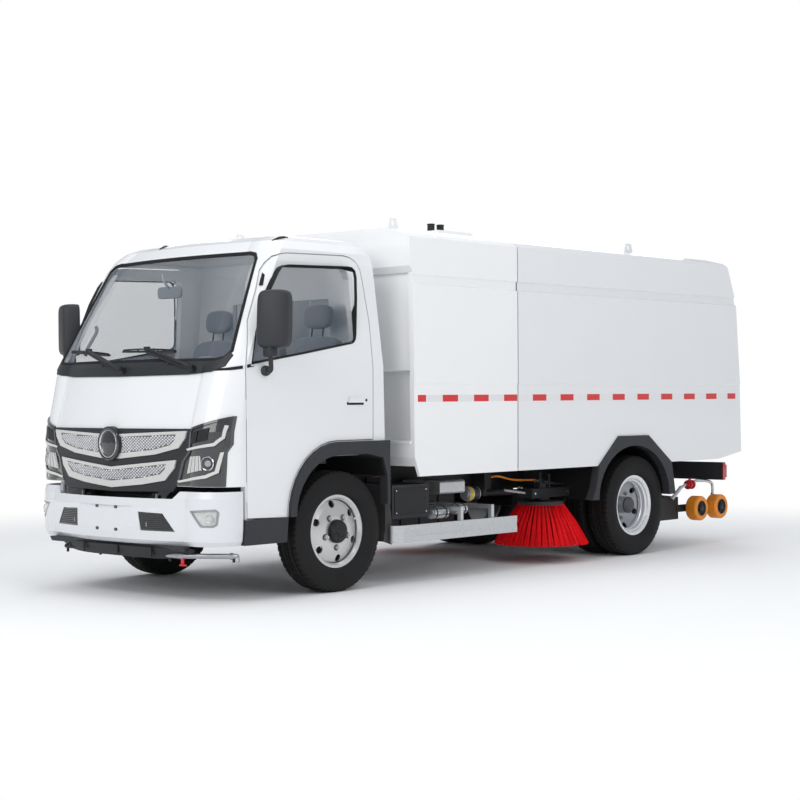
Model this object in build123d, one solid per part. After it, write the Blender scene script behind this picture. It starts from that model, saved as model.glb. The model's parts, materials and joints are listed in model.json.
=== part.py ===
from build123d import *
import math
import os

# Street sweeper truck. Millimetres, +Z up, front towards -Y, vehicle's left towards +X.
# Stations (the y of a piece) are measured from the front axle; write() moves them to the
# origin, which is on the ground below the middle of the vehicle's length.

# ---------------------------------------------------------------- driving dimensions
WHEELBASE = 3360
FRONT_OVERHANG = 1190
REAR_OVERHANG = 1565
BODY_WIDTH = 2100
CAB_WIDTH = 1940
ROOF_HEIGHT = 2370
BODY_HEIGHT = 2480
BODY_BOTTOM = 740

TYRE_OD = 805
TYRE_WIDTH = 215
RIM_OD = 485
RIM_WIDTH = 152
FRONT_TRACK = 1738
REAR_OUTER_TRACK = 1824
TWIN_SPACING = 250
KINGPIN_TRACK = 1460
KINGPIN_R = 20
STUB_R = 38
SPINDLE_R = 28

RAIL_OUTSIDE = 750
RAIL_HEIGHT = 170
RAIL_FLANGE = 65
RAIL_WALL = 8
RAIL_TOP = 740
RAIL_FRONT = -960
RAIL_REAR = 4800
SUB_WIDTH = 60
SUB_FRONT = 640
SUB_TOP = 809.7
CAB_DECK = 930

CAB_WALL = 45
DOOR_WALL = 60
DOOR_GAP = 8
GLASS_INSET = 10
GLASS_WALL = 6
BODY_WALL = 40
SKIRT_WALL = 30
SEAM = 1810
SEAM_GAP = 12
RUN_GAP = 0.5

BARREL_FOOT = (2500, 640)
ROD_EYE = (3700, 760)
BARREL_R, ROD_R = 60, 35

BRUSH = (700, 2510)
BRUSH_R = 345
BRUSH_TIP_Z = 115
BRUSH_PIVOT = (470, 2080)
BRUSH_POST_R = 35
ARM_ROOT = (3750, 530)
ARM_END = (4200, 500)
ARM_PIN = 14
DOOR_HINGE = (4735, 2425)
CAB_HINGE = (-1052, 660)
TIP_PIVOT = (4750, 775)

# ---------------------------------------------------------------- derived sizes
AXLE_Y = FRONT_OVERHANG - (FRONT_OVERHANG + WHEELBASE + REAR_OVERHANG) / 2
HUB_Z = TYRE_OD / 2
BODY_REAR = WHEELBASE + REAR_OVERHANG
HALF_BODY = BODY_WIDTH / 2
HALF_CAB = CAB_WIDTH / 2
RAIL_X = RAIL_OUTSIDE / 2
RAIL_BOTTOM = RAIL_TOP - RAIL_HEIGHT
SIDES = (("left", 1), ("right", -1))


# ---------------------------------------------------------------- helpers
def box(x0, x1, y0, y1, z0, z1):
    centre = ((x0 + x1) / 2, (y0 + y1) / 2, (z0 + z1) / 2)
    return Pos(*centre) * Box(abs(x1 - x0), abs(y1 - y0), abs(z1 - z0))


def outline(points):
    return make_face(Polyline(*points, close=True))


def side_prism(points, x0, x1):
    """An outline of (y, z) points, from x0 to x1."""
    face = outline([(x0, y, z) for y, z in points])
    return extrude(face, amount=x1 - x0, dir=(1, 0, 0))


def front_prism(points, y0, y1):
    """An outline of (x, z) points, from y0 to y1."""
    face = outline([(x, y0, z) for x, z in points])
    return extrude(face, amount=y1 - y0, dir=(0, 1, 0))


def plan_prism(points, z0, z1):
    """An outline of (x, y) points, from z0 to z1."""
    face = outline([(x, y, z0) for x, y in points])
    return extrude(face, amount=z1 - z0, dir=(0, 0, 1))


def rod_x(radius, x0, x1, y, z):
    return Pos((x0 + x1) / 2, y, z) * Rot(0, 90, 0) * Cylinder(radius, abs(x1 - x0))


def rod_y(radius, x, y0, y1, z):
    return Pos(x, (y0 + y1) / 2, z) * Rot(90, 0, 0) * Cylinder(radius, abs(y1 - y0))


def rod_z(radius, x, y, z0, z1):
    return Pos(x, y, (z0 + z1) / 2) * Cylinder(radius, abs(z1 - z0))


def rod(start, end, radius):
    a, b = Vector(*start), Vector(*end)
    plane = Plane(origin=a, z_dir=b - a)
    return plane * Pos(0, 0, (b - a).length / 2) * Cylinder(radius, (b - a).length)


def lathe_x(points, x, y, z, side=1):
    """A profile of (outward distance, radius) points, turned about an axle along X."""
    face = outline([(side * out, 0, r) for out, r in points])
    return Pos(x, y, z) * revolve(face, Axis.X)


def mirror_x(shape):
    return mirror(shape, about=Plane.YZ)


def both(shape):
    return [shape, mirror_x(shape)]


def group(*items):
    flat = []
    for item in items:
        if isinstance(item, (list, tuple)):
            flat += item
        else:
            flat.append(item)
    solids = [s for item in flat for s in item.solids()]
    return Compound(children=solids)


def fuse(*items):
    flat = []
    for item in items:
        flat += item if isinstance(item, (list, tuple)) else [item]
    first = flat[0]
    for item in flat[1:]:
        first = first + item
    return first


os.makedirs("parts", exist_ok=True)


def write(node, shape):
    export_step(Pos(0, AXLE_Y, 0) * shape, "parts/" + node + ".step")


# ---------------------------------------------------------------- ladder frame
def rail():
    x = RAIL_X
    web = box(x - RAIL_WALL, x, RAIL_FRONT, RAIL_REAR, RAIL_BOTTOM, RAIL_TOP)
    top = box(x - RAIL_FLANGE, x, RAIL_FRONT, RAIL_REAR, RAIL_TOP - RAIL_WALL, RAIL_TOP)
    low = box(x - RAIL_FLANGE, x, RAIL_FRONT, RAIL_REAR, RAIL_BOTTOM, RAIL_BOTTOM + RAIL_WALL)
    return web + top + low


CROSS_STATIONS = (-930, 980, 1700, 2300, 3950, 4740)
CROSS_R = 45


def frame():
    cross = [rod_x(CROSS_R, -RAIL_X + 4, RAIL_X - 4, y, RAIL_TOP - 85) for y in CROSS_STATIONS]
    hinge_y, hinge_z = CAB_HINGE
    horn = side_prism([(RAIL_FRONT, RAIL_BOTTOM), (RAIL_FRONT, RAIL_TOP - 20), (-1022, RAIL_TOP - 40),
                       (-1078, 690), (-1078, 630), (-1022, 590)], RAIL_X - 20, RAIL_X)
    pin = rod_x(14, RAIL_X - 70, RAIL_X + 24, hinge_y, hinge_z)
    tail_y, tail_z = TIP_PIVOT
    ear = side_prism([(tail_y - 50, RAIL_TOP - 1), (tail_y - 28, tail_z), (tail_y + 28, tail_z),
                      (tail_y + 50, RAIL_TOP - 1)], RAIL_X - 20, RAIL_X)
    ear += rod_x(28, RAIL_X - 20, RAIL_X, tail_y, tail_z)
    ear += box(RAIL_X - SUB_WIDTH, RAIL_X, SUB_FRONT, tail_y - 90, RAIL_TOP - 1, SUB_TOP)
    ear += box(RAIL_X - 60, RAIL_X, 300, 360, RAIL_TOP - 1, CAB_DECK - 30.5)
    tail_pin = rod_x(18, RAIL_X - 80, RAIL_X + 14, tail_y, tail_z)
    arm_y, arm_z = ARM_ROOT
    hanger = side_prism([(arm_y - 60, RAIL_BOTTOM + 1), (arm_y - 22, arm_z - 22), (arm_y + 22, arm_z - 22),
                         (arm_y + 60, RAIL_BOTTOM + 1)], 308, 320) + rod_x(ARM_PIN, 270, 320, arm_y, arm_z)
    brush_x, brush_y = BRUSH_PIVOT
    holder = box(RAIL_X - 1, brush_x + 50, brush_y - 40, brush_y + 40, RAIL_BOTTOM, RAIL_TOP - 40)
    holder -= rod_z(BRUSH_POST_R + RUN_GAP, brush_x, brush_y, 500, 800)
    left = fuse(rail(), horn, pin, ear, tail_pin, hanger, holder)
    foot_pin = rod_x(20, -RAIL_X + 1, RAIL_X - 1, *BARREL_FOOT)
    return fuse(left, mirror_x(left), foot_pin, *cross)


write("frame", frame())

# ---------------------------------------------------------------- axles and springs
SPRING_X = 430
SPRING_WIDTH = 60
LEAF = 9
FRONT_SPRING = (620, 4, 395)
REAR_SPRING = (660, 7, 480)
KINGPIN_X = KINGPIN_TRACK / 2


def leaf_pack(y, half_length, leaves, z):
    """Leaves shorten step by step downwards; the eyes sit at the ends of the longest one."""
    x0, x1 = SPRING_X - SPRING_WIDTH / 2, SPRING_X + SPRING_WIDTH / 2
    pack = None
    for i in range(leaves):
        reach = half_length * (1 - i / (leaves + 1))
        top = z + (leaves - i) * LEAF
        leaf = box(x0, x1, y - reach, y + reach, top - LEAF, top)
        pack = leaf if pack is None else pack + leaf
    eye_z = z + leaves * LEAF + 12
    for end in (-half_length, half_length):
        pack += rod_x(24, x0, x1, y + end, eye_z)
        pack += side_prism([(y + end - 40, eye_z), (y + end + 40, eye_z), (y + end + 30, RAIL_TOP - 60),
                            (y + end - 30, RAIL_TOP - 60)], RAIL_X, x0 + 10)
    return pack


def front_axle():
    half, leaves, seat = FRONT_SPRING
    beam = box(-KINGPIN_X + 120, KINGPIN_X - 120, -38, 38, seat - 75, seat)
    eye = rod_z(48, KINGPIN_X, 0, HUB_Z - 55, HUB_Z + 55) - rod_z(KINGPIN_R + RUN_GAP, KINGPIN_X, 0, 0, 900)
    arm = front_prism([(KINGPIN_X - 135, seat - 75), (KINGPIN_X - 135, seat), (KINGPIN_X - 30, HUB_Z + 45),
                       (KINGPIN_X - 30, HUB_Z - 45)], -34, 34)
    springs = leaf_pack(0, half, leaves, seat)
    side = fuse(arm, eye, springs)
    return fuse(beam, side, mirror_x(side))


def rear_axle():
    half, leaves, seat = REAR_SPRING
    hub_face = REAR_OUTER_TRACK / 2 - TWIN_SPACING - 40
    tube = rod_x(58, -hub_face, hub_face, WHEELBASE, HUB_Z)
    stub = rod_x(STUB_R, -REAR_OUTER_TRACK / 2 - 12, REAR_OUTER_TRACK / 2 + 12, WHEELBASE, HUB_Z)
    bowl = Pos(0, WHEELBASE, HUB_Z) * Sphere(165)
    nose = rod_y(70, 0, WHEELBASE - 260, WHEELBASE - 60, HUB_Z + 10)
    seats = box(SPRING_X - 40, SPRING_X + 40, WHEELBASE - 60, WHEELBASE + 60, HUB_Z + 20, seat)
    side = fuse(seats, leaf_pack(WHEELBASE, half, leaves, seat))
    return fuse(tube, stub, bowl, nose, side, mirror_x(side))


write("front_axle", front_axle())
write("rear_axle", rear_axle())


# ---------------------------------------------------------------- steering knuckles
def knuckle():
    hub_x = FRONT_TRACK / 2
    fork = box(KINGPIN_X - 42, KINGPIN_X + 42, -40, 40, HUB_Z + 60, HUB_Z + 90)
    low = box(KINGPIN_X - 42, KINGPIN_X + 42, -40, 40, HUB_Z - 90, HUB_Z - 60)
    back = box(KINGPIN_X + 54, KINGPIN_X + 80, -45, 45, HUB_Z - 90, HUB_Z + 90)
    bridge = [box(KINGPIN_X + 30, KINGPIN_X + 60, -40, 40, z, z + 30) for z in (HUB_Z + 60, HUB_Z - 90)]
    pin = rod_z(KINGPIN_R, KINGPIN_X, 0, HUB_Z - 95, HUB_Z + 95)
    spindle = rod_x(SPINDLE_R, KINGPIN_X + 60, hub_x + 20, 0, HUB_Z)
    arm = plan_prism([(KINGPIN_X - 20, 30), (KINGPIN_X + 30, 30), (KINGPIN_X - 30, 230), (KINGPIN_X - 60, 230)],
                     HUB_Z - 90, HUB_Z - 68)
    return fuse(fork, low, back, *bridge, pin, spindle, arm)


for side, s in SIDES:
    piece = knuckle()
    write("knuckle_" + side, piece if s > 0 else mirror_x(piece))

# ---------------------------------------------------------------- wheels
TYRE_WALL = ((0.43, 0.645), (0.48, 0.70), (0.5, 0.79), (0.485, 0.87), (0.45, 0.935), (0.40, 0.985))
GROOVES = ((0.24, 0.03), (0.06, 0.03))
GROOVE_FLOOR = 0.972
BEAD_GAP = 0.3


def tyre(x, y, s):
    """TYRE_WALL has shares of the width and of the outside radius; GROOVES has a middle and half a width."""
    half = list(TYRE_WALL)
    for middle, reach in GROOVES:
        half += [(middle + reach, 0.997), (middle + reach / 2, GROOVE_FLOOR), (middle - reach / 2, GROOVE_FLOOR),
                 (middle - reach, 1.0)]
    section = half + [(-out, share) for out, share in half[::-1]]
    points = [(out * TYRE_WIDTH, share * TYRE_OD / 2) for out, share in section]
    points += [(side * RIM_WIDTH / 2, RIM_OD / 2 + BEAD_GAP) for side in (-1, 1)]
    return lathe_x(points, x, y, HUB_Z, s)


def rim_barrel(x, y, s):
    r, w = RIM_OD / 2, RIM_WIDTH / 2
    points = [(-w, r), (-w, r - 16), (-w + 14, r - 30), (w - 14, r - 30), (w, r - 16), (w, r),
              (w - 10, r - 2), (w - 16, r - 14), (-w + 16, r - 14), (-w + 10, r - 2)]
    return lathe_x(points, x, y, HUB_Z, s)


def ring_of_holes(shape, x, y, count, pitch_r, hole_r, start=0.0):
    for i in range(count):
        a = math.radians(start + 360 * i / count)
        shape -= rod_x(hole_r, x - 120, x + 120, y + pitch_r * math.cos(a), HUB_Z + pitch_r * math.sin(a))
    return shape


# Columns: distance out from the wheel's middle, radius.
FRONT_DISC = ((22, 224), (46, 208), (58, 176), (68, 132), (72, 98), (72, 40), (62, 40), (62, 94), (57, 128),
              (48, 168), (36, 198), (10, 224))
REAR_DISC = ((34, 222), (-16, 204), (-38, 166), (-50, 120), (-54, 60), (-64, 60), (-60, 124), (-48, 172),
             (-28, 212), (22, 228))
VENT_COUNT, VENT_PITCH, VENT_R, VENT_START = 6, 183, 25, 99
NUT_COUNT, NUT_PITCH, NUT_R, NUT_START = 5, 108, 15, 54
CAP_R = 77


def wheel_nuts(x, y, face, s):
    """Five nuts seated on the disc, each with its stud."""
    nuts = []
    for i in range(NUT_COUNT):
        a = math.radians(NUT_START + 360 * i / NUT_COUNT)
        ny, nz = y + NUT_PITCH * math.cos(a), HUB_Z + NUT_PITCH * math.sin(a)
        start = x + s * (face - 2)
        nuts.append(Pos(start, ny, nz) * Rot(0, 90 * s, 0) * extrude(RegularPolygon(NUT_R, 6), 20))
        nuts.append(rod_x(8, start, start + s * 32, ny, nz))
    return nuts


def front_rim(s):
    x, bore = s * FRONT_TRACK / 2, SPINDLE_R + RUN_GAP
    disc = lathe_x(FRONT_DISC, x, 0, HUB_Z, s)
    disc = ring_of_holes(disc, x, 0, VENT_COUNT, VENT_PITCH, VENT_R, VENT_START)
    hub = lathe_x([(-30, bore), (-30, 85), (40, 85), (60, 60), (96, CAP_R - 4), (104, CAP_R - 14), (107, 0),
                   (22, 0), (22, bore)], x, 0, HUB_Z, s)
    return fuse(rim_barrel(x, 0, s), disc, hub, *wheel_nuts(x, 0, FRONT_DISC[4][0], s))


def rear_rims(s):
    outer = s * REAR_OUTER_TRACK / 2
    inner = outer - s * TWIN_SPACING
    r = RIM_OD / 2
    disc = lathe_x(REAR_DISC, outer, WHEELBASE, HUB_Z, s)
    disc = ring_of_holes(disc, outer, WHEELBASE, VENT_COUNT, VENT_PITCH - 10, VENT_R, VENT_START)
    bore = STUB_R + RUN_GAP
    hub = lathe_x([(-280, bore), (-280, 100), (-66, 100), (-66, 70), (22, 62), (22, bore)], outer, WHEELBASE, HUB_Z, s)
    web = lathe_x([(-20, r - 20), (-20, 98), (-10, 98), (-10, r - 20)], inner, WHEELBASE, HUB_Z, s)
    cap = lathe_x([(21, 0), (21, 62), (36, 58), (44, 50), (46, 0)], outer, WHEELBASE, HUB_Z, s)
    return fuse(rim_barrel(outer, WHEELBASE, s), rim_barrel(inner, WHEELBASE, s), disc, hub, web, cap,
                *wheel_nuts(outer, WHEELBASE, REAR_DISC[4][0], s))


for side, s in SIDES:
    write("front_tyre_" + side, tyre(s * FRONT_TRACK / 2, 0, s))
    write("front_rim_" + side, front_rim(s))
    outer = s * REAR_OUTER_TRACK / 2
    write("rear_tyres_" + side, group(tyre(outer, WHEELBASE, s), tyre(outer - s * TWIN_SPACING, WHEELBASE, s)))
    write("rear_rims_" + side, rear_rims(s))

# ---------------------------------------------------------------- cab form
# Columns: height, front middle y, y where the nose turns into the corner, x there,
# y where the corner meets the side, half width, rear y.
CAB_SECTIONS = (
    (500, -1100, -1040, 700, -860, 970, 455),
    (1080, -1118, -1048, 690, -850, 970, 443),
    (1500, -1030, -935, 700, -815, 968, 437),
    (2180, -605, -545, 640, -475, 890, 418),
    (2262, -545, -488, 632, -412, 868, 405),
    (2320, -480, -428, 600, -345, 815, 380),
    (2352, -400, -345, 555, -260, 760, 345),
)
CAB_CROWN = (2370, -290, -235, 480, -140, 660, 270)


def cab_section(row, inset):
    z, nose_y, turn_y, turn_x, side_y, half, rear = row
    x, tx = half - inset, turn_x - inset / 2
    front = ThreePointArc((-tx, turn_y + inset, z), (0, nose_y + inset, z), (tx, turn_y + inset, z))
    bow = 0.72
    mid_x = tx + (x - tx) * bow
    mid_y = side_y + inset / 2 - (side_y - turn_y) * bow
    corner = ThreePointArc((tx, turn_y + inset, z), (mid_x, mid_y, z), (x, side_y + inset / 2, z))
    corner_r = ThreePointArc((-x, side_y + inset / 2, z), (-mid_x, mid_y, z), (-tx, turn_y + inset, z))
    sides = [Line((x, side_y + inset / 2, z), (x, rear - inset, z)), Line((x, rear - inset, z), (-x, rear - inset, z)),
             Line((-x, rear - inset, z), (-x, side_y + inset / 2, z))]
    return make_face(Wire([front, corner, *sides, corner_r]))


def cab_solid(inset=0):
    rows = list(CAB_SECTIONS) + [CAB_CROWN]
    rows[-3:] = [(row[0] - inset,) + row[1:] for row in rows[-3:]]
    return loft([cab_section(row, inset) for row in rows], ruled=True)


ARCH_MIDDLE, ARCH_REACH, ARCH_STEPS = (-15, 525), (449, 472), 9


def arch_points(out=0.0):
    """The wheel opening's quarter ellipse, from its foot in front of the wheel to its top."""
    (cy, cz), (a, b) = ARCH_MIDDLE, ARCH_REACH
    turns = [math.pi / 2 * i / ARCH_STEPS for i in range(ARCH_STEPS + 1)]
    return [(cy - (a + out) * math.cos(t), cz + (b + out) * math.sin(t)) for t in turns]


SHELL_LOW, SHELL_LOW_FRONT = 700, 735
LOW_EDGE = [(-1300, 300), (-1300, SHELL_LOW_FRONT), (-830, SHELL_LOW_FRONT), (-830, 525), *arch_points(), (700, 997),
            (700, 300)]
DOOR_OUTLINE = [(-815, 535), (-815, 1490), (-724, 1778), (-619, 1984), (-559, 2110), (-520, 2165), (-479, 2202),
                (-430, 2220), (-370, 2228), (150, 2240), (210, 2230), (259, 2200), (288, 2150), (300, 2084),
                (333, 1783), (330, 1310), (325, 1008), *arch_points(11)[::-1]]
DOOR_SIDE = [(790, 500), (790, 1500), (690, 2300), (1300, 2300), (1300, 500)]
DOOR_WINDOW = [(-772, 1500), (-715, 1700), (-590, 1970), (-515, 2092), (-480, 2132), (-430, 2150), (110, 2166),
               (145, 2158), (168, 2130), (178, 2085), (192, 1686), (188, 1600), (170, 1562), (135, 1548)]
SCREEN = [(-800, 1528), (-850, 1540), (-882, 1585), (-766, 2190), (-735, 2226), (-680, 2238), (680, 2238),
          (735, 2226), (766, 2190), (882, 1585), (850, 1540), (800, 1528)]
REAR_WINDOW = [(-520, 1500), (520, 1500), (500, 1980), (-500, 1980)]

OUTER = cab_solid()
INNER = cab_solid(CAB_WALL)
DOOR_INNER = cab_solid(DOOR_WALL)
PANEL_SEAM_X, PANEL_GROOVE = 705, 4
GLASS_OUT = cab_solid(GLASS_INSET)
GLASS_IN = cab_solid(GLASS_INSET + GLASS_WALL)


def grow(points, by):
    """The outline moved out by a distance; negative moves it in."""
    face = outline([(y, z, 0) for y, z in points])
    moved = offset(face, amount=by, kind=Kind.INTERSECTION)
    wire = moved.faces()[0].outer_wire()
    return [(v.X, v.Y) for v in [e.position_at(0) for e in wire.order_edges()]]


HINGE_X, HINGE_Y, HINGE_R = HALF_CAB - 4, DOOR_OUTLINE[0][0] - DOOR_GAP / 2, DOOR_GAP / 2 - 0.5
HINGE_HEIGHTS = (640, 1160)
HINGE_HALF = 60


def hinge_half(y_end, low):
    """Half of each door hinge: its barrel lies in the shut line, its leaf meets the panel at y_end."""
    parts = []
    for z in HINGE_HEIGHTS:
        z0 = z if low else z + HINGE_HALF + 0.3
        barrel = rod_z(HINGE_R, HINGE_X, HINGE_Y, z0, z0 + HINGE_HALF)
        leaf = box(HINGE_X - HINGE_R, HINGE_X, HINGE_Y, y_end, z0, z0 + HINGE_HALF)
        parts.append(barrel + leaf)
    return parts


def cab_shell():
    shell = OUTER - INNER
    shell -= side_prism(LOW_EDGE, -1200, 1200)
    hole = side_prism(grow(DOOR_OUTLINE, DOOR_GAP), 500, 1200)
    hole &= front_prism(grow(DOOR_SIDE, DOOR_GAP), -1200, 800)
    shell = shell - hole - mirror_x(hole)
    shell -= front_prism(SCREEN, -1400, -300)
    shell -= front_prism(REAR_WINDOW, 200, 600)
    skin = cab_solid(-5) - cab_solid(PANEL_GROOVE)
    for x in (-PANEL_SEAM_X, PANEL_SEAM_X):
        shell -= box(x - 1.5, x + 1.5, -1300, -900, 1100, 1460) & skin
    for half in hinge_half(DOOR_OUTLINE[0][0] - DOOR_GAP - 1, True):
        shell = shell + half + mirror_x(half)
    return shell


def door(s):
    skin = (OUTER - DOOR_INNER) & side_prism(DOOR_OUTLINE, 500, 1200)
    skin &= front_prism(DOOR_SIDE, -1200, 800)
    skin -= side_prism(DOOR_WINDOW, 500, 1200)
    handle = box(HALF_CAB - 12, HALF_CAB + 22, 90, 230, 1255, 1290)
    skin += handle
    for half in hinge_half(DOOR_OUTLINE[0][0] + 1, False):
        skin += half
    return skin if s > 0 else mirror_x(skin)


def door_glass(s):
    pane = (GLASS_OUT - GLASS_IN) & side_prism(grow(DOOR_WINDOW, -0.4), 500, 1200)
    return pane if s > 0 else mirror_x(pane)


MIRROR = (1000, 1192, -752, -642, 1605, 1970)
MIRROR_ROUND = 32
MIRROR_FOOT = (985, -660, 1462)


def mirror_head(s):
    x0, x1, y0, y1, z0, z1 = MIRROR
    head = box(*MIRROR)
    head = fillet(head.edges().filter_by(Axis.Z) + head.edges().group_by(Axis.Y)[0].filter_by(Axis.X), MIRROR_ROUND)
    head -= box(x0 + 14, x1 - 14, y1 - 10, y1 + 10, z0 + 18, z1 - 18)
    fx, fy, fz = MIRROR_FOOT
    foot = rod_x(33, fx - 35, fx, fy, fz) - OUTER
    elbow = (fx + 60, fy - 12, fz + 6)
    arm = fuse(rod((fx - 6, fy, fz), elbow, 15), Pos(*elbow) * Sphere(17), rod(elbow, (fx + 62, fy - 30, z0 + 25), 16))
    pad = box(fx + 30, fx + 100, fy - 60, fy + 10, z0 - 40, z0 + 10)
    top = fuse(head, arm, foot, pad)
    return top if s > 0 else mirror_x(top)


def cab_glass():
    front = (GLASS_OUT - GLASS_IN) & front_prism(grow(SCREEN, -0.4), -1400, -300)
    back = (GLASS_OUT - GLASS_IN) & front_prism(grow(REAR_WINDOW, -0.4), 200, 600)
    return group(front, back)


def cab_floor():
    deck = side_prism([(-1200, 755), (-1200, 780), (-560, 780), (-560, CAB_DECK), (500, CAB_DECK),
                       (500, CAB_DECK - 30), (-530, CAB_DECK - 30), (-530, 755)], -1000, 1000)
    floor = deck & cab_solid(CAB_WALL + 0.3)
    sill = box(HALF_CAB - DOOR_WALL - DOOR_GAP, HALF_CAB, -830, 340, 700, 1000)
    floor = floor - sill - mirror_x(sill)
    lugs = [side_prism([(-1072, 640), (-1072, 682), (-1035, 696), (-1000, 756), (-900, 756), (-900, 745), (-1015, 640)],
                       s * (RAIL_X + 2), s * (RAIL_X + 22)) - rod_x(14 + RUN_GAP, -600, 600, *CAB_HINGE)
            for s in (1, -1)]
    return fuse(floor, *lugs)


write("cab_shell", cab_shell())
write("cab_floor", cab_floor())
write("cab_glass", cab_glass())
for side, s in SIDES:
    write("door_" + side, door(s))
    write("door_glass_" + side, door_glass(s))
    write("mirror_" + side, mirror_head(s))


# ---------------------------------------------------------------- cab inside
def seat(x, width):
    base = box(x - width / 2, x + width / 2, -330, 180, 1010, 1140)
    base += box(x - width / 2 + 60, x + width / 2 - 60, -280, 130, 930.3, 1012)
    back = side_prism([(120, 1100), (240, 1100), (300, 1720), (215, 1740)], x - width / 2, x + width / 2)
    rest = box(x - 130, x + 130, 225, 300, 1760, 1930)
    post = rod_z(9, x, 262, 1700, 1770)
    return fuse(base, back, rest, post)


write("seats", group(seat(520, 500), seat(-520, 500), seat(0, 380)))

DASH = [(-900, 1100), (-960, 1400), (-930, 1480), (-760, 1500), (-690, 1440), (-600, 1270), (-700, 1100)]
WHEEL_CENTRE = (520, -480, 1400)
WHEEL_TILT = 35


def dashboard():
    slab = side_prism(DASH, -880, 880)
    x, y, z = WHEEL_CENTRE
    back, down = math.sin(math.radians(WHEEL_TILT)), math.cos(math.radians(WHEEL_TILT))
    column = rod((x, y - 45.3 * back, z - 45.3 * down), (x, y - 720 * back, z - 720 * down), 26)
    return (slab + column) & cab_solid(CAB_WALL + 0.3)


write("dashboard", dashboard())


def steering_wheel():
    rim = Torus(200, 15)
    hub = Pos(0, 0, -20) * Cylinder(55, 50)
    spokes = [Rot(0, 0, a) * Pos(100, 0, -10) * Box(200, 34, 16) for a in (0, 180, 270)]
    wheel = fuse(rim, hub, *spokes)
    return Pos(*WHEEL_CENTRE) * Rot(-WHEEL_TILT, 0, 0) * wheel


write("steering_wheel", steering_wheel())

# ---------------------------------------------------------------- cab front
# Outlines seen from the front, as (x, z). Half lists run from the middle out and are mirrored.
def whole(half):
    """A left half, from the top middle round to the bottom middle, with its mirror image."""
    return half + [(-x, z) for x, z in half[::-1] if x > 0]


SURROUND = [(0, 1100), (712, 1100), (690, 958), (640, 900), (592, 742), (560, 702), (0, 690)]
BAR_UP = [(0, 1060), (690, 1087), (676, 1040), (622, 978), (420, 935), (100, 905), (0, 903)]
BAR_UP_MESH = [(0, 1043), (606, 1067), (590, 1024), (548, 992), (400, 962), (100, 938), (0, 936)]
BAR_LOW = [(0, 850), (600, 903), (584, 850), (505, 772), (300, 742), (0, 716)]
BAR_LOW_MESH = [(0, 830), (520, 878), (506, 842), (462, 808), (280, 780), (0, 757)]
SURROUND_STAND, BAR_STAND, MESH_STAND = 12, 22, 16
EMBLEM_Z, EMBLEM_R, EMBLEM_RING = 1000, 113, 14


def on_face(outline_points, low, high):
    """The part of a layer that stands low to high above the cab's skin, inside an outline from the front."""
    return front_prism(outline_points, -1200, -850) & (cab_solid(-high) - cab_solid(-low))


def grille():
    plate = on_face(whole(SURROUND), 0.3, SURROUND_STAND)
    disc = rod_y(EMBLEM_R, 0, -1152, -1110, EMBLEM_Z)
    disc -= rod_y(EMBLEM_R - EMBLEM_RING, 0, -1160, -1146, EMBLEM_Z)
    dome = rod_y(EMBLEM_R - EMBLEM_RING - 10, 0, -1150, -1120, EMBLEM_Z)
    return fuse(plate, (disc + dome) - cab_solid(-1))


def grille_bars():
    hole = rod_y(EMBLEM_R + 0.4, 0, -1300, -900, EMBLEM_Z)
    up = on_face(whole(BAR_UP), SURROUND_STAND + 0.3, BAR_STAND) - hole
    up -= on_face(whole(BAR_UP_MESH), MESH_STAND, BAR_STAND + 5)
    low = on_face(whole(BAR_LOW), SURROUND_STAND + 0.3, BAR_STAND)
    low -= on_face(whole(BAR_LOW_MESH), MESH_STAND, BAR_STAND + 5)
    return group(up, low)


LAMP = [(714, 1086), (722, 1108), (957, 1178), (953, 1000), (935, 950), (928, 738), (594, 740), (642, 898), (692, 957)]
LAMP_POCKET = [(728, 1084), (738, 1098), (942, 1158), (938, 1004), (920, 952), (914, 754), (616, 755), (660, 892),
               (708, 952)]
LAMP_UP = [(677, 974), (874, 1012), (912, 1053), (920, 1121), (940, 1116), (928, 1036), (884, 986), (688, 958)]
LAMP_LOW = [(600, 772), (828, 812), (880, 836), (906, 952), (926, 957), (906, 822), (840, 786), (615, 756)]
PROJECTOR = (840, 884, 34)
LAMP_STAND, POCKET_STAND = 14, 4


def headlamp():
    form = on_face(LAMP, 0.3, LAMP_STAND) - on_face(LAMP_POCKET, POCKET_STAND, LAMP_STAND + 5)
    x, z, r = PROJECTOR
    lens = rod_y(r, x, -1200, -900, z) & (cab_solid(-LAMP_STAND + 1) - cab_solid(-POCKET_STAND + 1))
    bars = [on_face(outline_points, POCKET_STAND - 1, LAMP_STAND - 2) for outline_points in (LAMP_UP, LAMP_LOW)]
    return fuse(form, lens, *bars) - front_prism(whole(SURROUND), -1200, -850)


COWL = [(0, 1527), (800, 1527), (846, 1539), (878, 1580), (900, 1560), (884, 1492), (800, 1458), (600, 1442),
        (0, 1436)]
# Columns: pivot, elbow, the blade's two ends, each as (x, z) from the front.
WIPERS = (((29, 1475), (-476, 1603), (-752, 1616), (-220, 1582)),
          ((633, 1479), (187, 1600), (-68, 1603), (428, 1592)))


def strip(start, end, half):
    """The four corners of a straight strip, half wide on either side."""
    dx, dz = end[0] - start[0], end[1] - start[1]
    reach = math.hypot(dx, dz) / half
    nx, nz = -dz / reach, dx / reach
    return [(start[0] + nx, start[1] + nz), (end[0] + nx, end[1] + nz), (end[0] - nx, end[1] - nz),
            (start[0] - nx, start[1] - nz)]


def wiper(pivot, elbow, tip, heel):
    """A blade that lies on the glass, an arm over it and a boss on the cowl."""
    px, pz = pivot
    boss = on_face([(px - 17, pz - 12), (px + 17, pz - 12), (px + 17, pz + 12), (px - 17, pz + 12)], 7, 27)
    return fuse(boss, on_face(strip(pivot, elbow, 9), 15, 25), on_face(strip(tip, heel, 7), -9, 16))


def cowl():
    return fuse(on_face(whole(COWL), 0.3, 8), *[wiper(*row) for row in WIPERS])


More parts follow.
